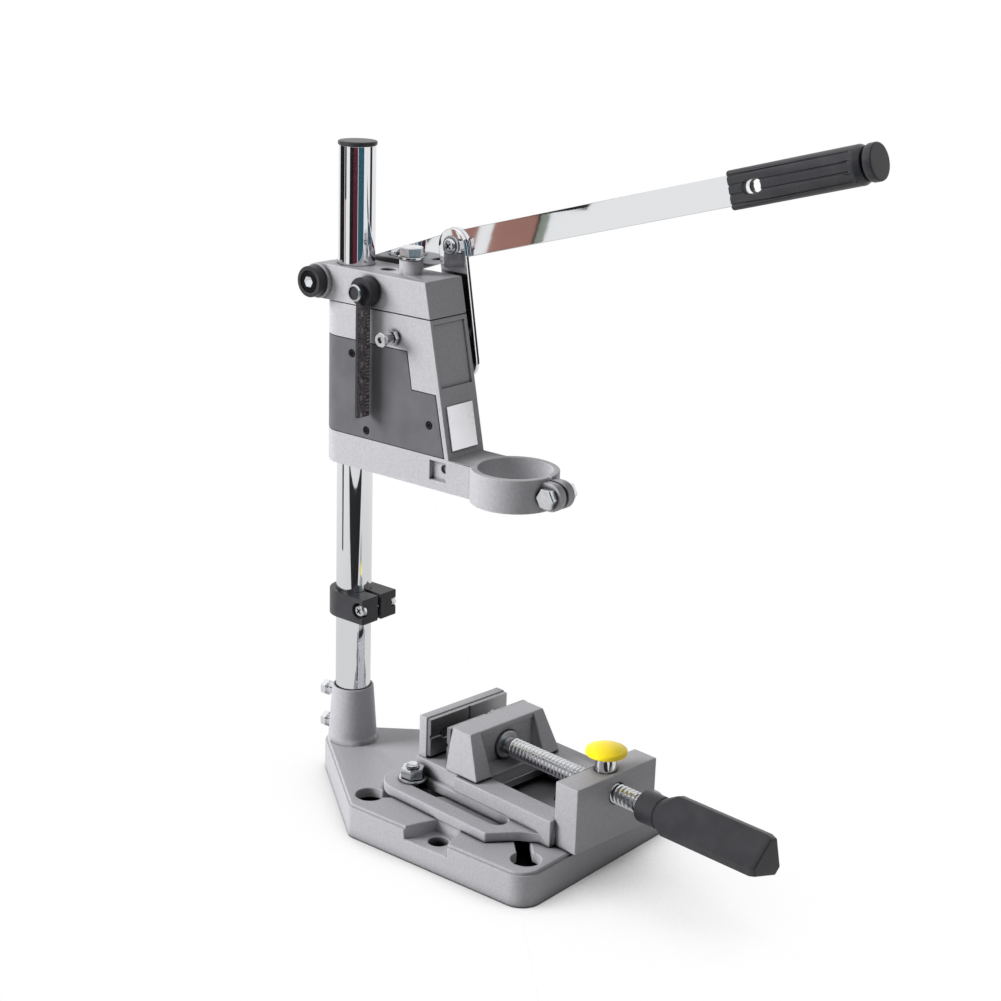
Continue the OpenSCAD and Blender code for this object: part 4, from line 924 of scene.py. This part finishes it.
def scale_marks():
    """Fine and numbered marks, and the centimetres beside them."""
    made = [marks(FINE_STEP, FINE_MARK), marks(NUMBERED_STEP, NUMBERED_MARK)]
    for depth in range(0, SCALE_LENGTH + 1, NUMBERED_STEP):
        made.append(numeral(depth // NUMBERED_STEP, SCALE_LEFT_X + NUMERAL_INSET, SCALE_ZERO - depth))
    joined(*made)
    settle("depth_scale_marks", "scale", "black_plastic", finish=SCALE_INK)


# Floor, backdrop and light, in metres

WHITE = (1, 1, 1, 1)
FLOOR_SIZE = 80
FLOOR_Z = -0.2 * MM
FLOOR_GREY = (0.8, 0.8, 0.8)
FLOOR_ROUGHNESS = 0.8
# The near-black of the shadow painted on the floor
PAINTED_FLOOR_SHADOW = (0.01, 0.01, 0.011)
# The shadow painted on the floor at the stand's foot: how far it reaches, and where it is full and gone
CONTACT_REACH = 0.12
CONTACT_FULL = 0.2
CONTACT_GONE = 0.8
# How bright reflections show the floor, near the stand and far from it; greyer near the stand as painted
# shade
FLOOR_NEAR = 0.35
FLOOR_FAR = 0.9
FLOOR_NEAR_GLOW = 0.72
FLOOR_FAR_GLOW = 0.88
SKY_LIGHT = 0.28
LAMPS_LOOK_AT = Vector((0, 0.05, 0.2))
LAMP_SIZE = 0.9

# Heights of the cards that reflections show: all round, beside the lever, above it, and low ones
CARD = (0.10, 0.55)
LEVER_BAND = (0.22, 0.30)
ABOVE_LEVER = (0.30, 0.55)
RIGHT_BAND = (0.22, 0.5)
LOW_BAND = (-0.02, 0.095)
THIN_LOW_BAND = (-0.1, 0.095)

BLACK = (0.008, 0.008, 0.008)
BROWN = (0.42, 0.21, 0.17)

# Each card's name, bearings round the column in degrees, heights, colour, foot's share of its top's
# width, and distance from the column
CARD_AWAY = 0.45
CARD_ROUGHNESS = 0.9
CARDS = (
    ("left card", (96, 139.5), CARD, BLACK, 1.0, CARD_AWAY),
    ("upper left card", (143, 157), ABOVE_LEVER, BLACK, 1.0, CARD_AWAY),
    ("narrow brown card", (143.4, 145.2), LEVER_BAND, BROWN, 1.0, CARD_AWAY),
    ("brown card", (146.8, 151.6), LEVER_BAND, BROWN, 1.0, CARD_AWAY),
    ("edge of the brown card", (151.6, 151.9), LEVER_BAND, BLACK, 1.0, CARD_AWAY),
    ("grey card", (151.9, 152.9), LEVER_BAND, (0.30, 0.34, 0.28), 1.0, CARD_AWAY),
    ("middle card", (176, 199), CARD, BLACK, 1.0, CARD_AWAY),
    ("red card", (199, 226), CARD, (0.10, 0.015, 0.03), 1.0, CARD_AWAY),
    ("teal card", (228, 262), CARD, (0.015, 0.06, 0.085), 1.0, CARD_AWAY),
    ("right card", (306, 324), RIGHT_BAND, BLACK, 1.0, 0.25),
    ("low card", (184, 272), LOW_BAND, (0.012, 0.012, 0.014), 0.25, CARD_AWAY),
    ("thin low card", (137, 149), THIN_LOW_BAND, (0.012, 0.03, 0.03), 0.4, CARD_AWAY),
)


def seen_directly(tree):
    """One for camera, glossy and transmission rays, and nought for the light that falls on the stand."""
    path = tree.nodes.new("ShaderNodeLightPath")
    mirrored = tree.nodes.new("ShaderNodeMath")
    mirrored.operation = "MAXIMUM"
    tree.links.new(path.outputs["Is Glossy Ray"], mirrored.inputs[0])
    tree.links.new(path.outputs["Is Transmission Ray"], mirrored.inputs[1])
    seen = tree.nodes.new("ShaderNodeMath")
    seen.operation = "MAXIMUM"
    tree.links.new(path.outputs["Is Camera Ray"], seen.inputs[0])
    tree.links.new(mirrored.outputs["Value"], seen.inputs[1])
    return seen.outputs["Value"]


def floor_glow(tree):
    """White for the camera, and for reflections greyer near the stand than far from it, as painted shade.
    """
    coordinates = tree.nodes.new("ShaderNodeTexCoord")
    distance = tree.nodes.new("ShaderNodeVectorMath")
    distance.operation = "LENGTH"
    tree.links.new(coordinates.outputs["Object"], distance.inputs[0])
    # Reflections see the floor greyer near the stand: painted shade
    spread = tree.nodes.new("ShaderNodeMapRange")
    spread.inputs["From Min"].default_value = FLOOR_NEAR
    spread.inputs["From Max"].default_value = FLOOR_FAR
    spread.inputs["To Min"].default_value = FLOOR_NEAR_GLOW
    spread.inputs["To Max"].default_value = FLOOR_FAR_GLOW
    tree.links.new(distance.outputs["Value"], spread.inputs["Value"])
    path = tree.nodes.new("ShaderNodeLightPath")
    strength = tree.nodes.new("ShaderNodeMath")
    strength.operation = "MAXIMUM"
    tree.links.new(path.outputs["Is Camera Ray"], strength.inputs[0])
    tree.links.new(spread.outputs["Result"], strength.inputs[1])
    return strength.outputs["Value"]


def floor():
    """A wide pale floor, white to the camera, that shows the stand's shadow only as shade painted at its
    foot.
    """
    bpy.ops.object.select_all(action="DESELECT")
    bpy.ops.mesh.primitive_plane_add(size=FLOOR_SIZE, location=(0, 0, FLOOR_Z))
    plane = bpy.context.active_object
    plane.name = "floor"
    material, tree, shader = finish_base("pale floor", FLOOR_GREY, FLOOR_ROUGHNESS)
    # Painted shadow: the floor darkens and stops glowing where the stand shuts it in
    clear_of_painted_shadow = openness(tree, CONTACT_REACH, CONTACT_FULL, CONTACT_GONE)
    painted_shadow_mix = tree.nodes.new("ShaderNodeMix")
    painted_shadow_mix.data_type = "RGBA"
    painted_shadow_mix.inputs["A"].default_value = (*PAINTED_FLOOR_SHADOW, 1)
    painted_shadow_mix.inputs["B"].default_value = (*FLOOR_GREY, 1)
    tree.links.new(clear_of_painted_shadow, painted_shadow_mix.inputs["Factor"])
    tree.links.new(painted_shadow_mix.outputs["Result"], shader.inputs["Base Color"])
    glow = tree.nodes.new("ShaderNodeEmission")
    glow.inputs["Color"].default_value = WHITE
    tree.links.new(floor_glow(tree), glow.inputs["Strength"])
    share = tree.nodes.new("ShaderNodeMath")
    share.operation = "MULTIPLY"
    tree.links.new(clear_of_painted_shadow, share.inputs[0])
    tree.links.new(seen_directly(tree), share.inputs[1])
    mix = tree.nodes.new("ShaderNodeMixShader")
    tree.links.new(share.outputs["Value"], mix.inputs["Fac"])
    tree.links.new(shader.outputs["BSDF"], mix.inputs[1])
    tree.links.new(glow.outputs["Emission"], mix.inputs[2])
    tree.links.new(mix.outputs["Shader"], tree.nodes["Material Output"].inputs["Surface"])
    plane.data.materials.append(material)
    bpy.ops.object.select_all(action="DESELECT")


def world():
    """A white backdrop, with a plain soft light on the stand."""
    studio = bpy.data.worlds.new("studio")
    studio.use_nodes = True
    tree = studio.node_tree
    light = tree.nodes["Background"]
    light.inputs["Color"].default_value = WHITE
    light.inputs["Strength"].default_value = SKY_LIGHT
    backdrop = tree.nodes.new("ShaderNodeBackground")
    backdrop.inputs["Color"].default_value = WHITE
    backdrop.inputs["Strength"].default_value = 1.0
    mix = tree.nodes.new("ShaderNodeMixShader")
    tree.links.new(seen_directly(tree), mix.inputs["Fac"])
    tree.links.new(light.outputs["Background"], mix.inputs[1])
    tree.links.new(backdrop.outputs["Background"], mix.inputs[2])
    tree.links.new(mix.outputs["Shader"], tree.nodes["World Output"].inputs["Surface"])
    bpy.context.scene.world = studio


def dark_card(name, bearings, heights, colour, foot, away):
    """A dark card that only reflections show, between two bearings round the column."""
    corners = [Vector((away * math.cos(math.radians(bearing)),
                       COLUMN_Y * MM + away * math.sin(math.radians(bearing)), 0)) for bearing in bearings]
    middle = (corners[0] + corners[1]) / 2
    along = corners[1] - corners[0]
    low, high = heights
    bpy.ops.object.select_all(action="DESELECT")
    bpy.ops.mesh.primitive_plane_add(size=1, location=(middle.x, middle.y, (low + high) / 2),
                                     rotation=(math.pi / 2, 0, math.atan2(along.y, along.x)))
    card = bpy.context.active_object
    card.name = name
    card.scale = (along.length, high - low, 1)
    bpy.ops.object.transform_apply(location=True, rotation=True, scale=True)
    bpy.ops.object.mode_set(mode="EDIT")
    bpy.ops.mesh.select_all(action="DESELECT")
    mesh = bmesh.from_edit_mesh(card.data)
    for corner in mesh.verts:
        corner.select_set(corner.co.z < (low + high) / 2)
    bmesh.update_edit_mesh(card.data)
    bpy.ops.transform.resize(value=(foot, foot, 1), center_override=(middle.x, middle.y, low))
    bpy.ops.object.mode_set(mode="OBJECT")
    card.data.materials.append(finish_base(name, colour, CARD_ROUGHNESS)[0])
    card.visible_camera = False
    card.visible_diffuse = False
    card.visible_shadow = False
    bpy.ops.object.select_all(action="DESELECT")


def lamp(name, at, power):
    """A soft square lamp that looks at the stand, and doesn't show in its chrome."""
    data = bpy.data.lights.new(name, "AREA")
    data.energy = power
    data.size = LAMP_SIZE
    piece = bpy.data.objects.new(name, data)
    piece.visible_glossy = False
    piece.location = at
    aim = LAMPS_LOOK_AT - Vector(at)
    piece.rotation_euler = aim.to_track_quat("-Z", "Y").to_euler()
    bpy.context.scene.collection.objects.link(piece)


place_camera()
dress_cad_nodes()
for node, width in EDGE_WIDTHS.items():
    rounded_copy(node, width)
fulcrum_fittings()
pivot_fittings()
collar_fittings()
depth_pin()
stop_fittings()
column_screws()
cover_screws()
plate_screws()
vice_bolt_fittings()
guide_rod_fittings()
lead_screw()
mottled_scale_face()
scale_knob()
scale_marks()
floor()
world()
for card in CARDS:
    dark_card(*card)
lamp("left lamp", (-1.26, 1.3, 0.90), 68)
lamp("right lamp", (1.5, 0.45, 0.45), 12)

bpy.context.scene.view_settings.view_transform = "Standard"
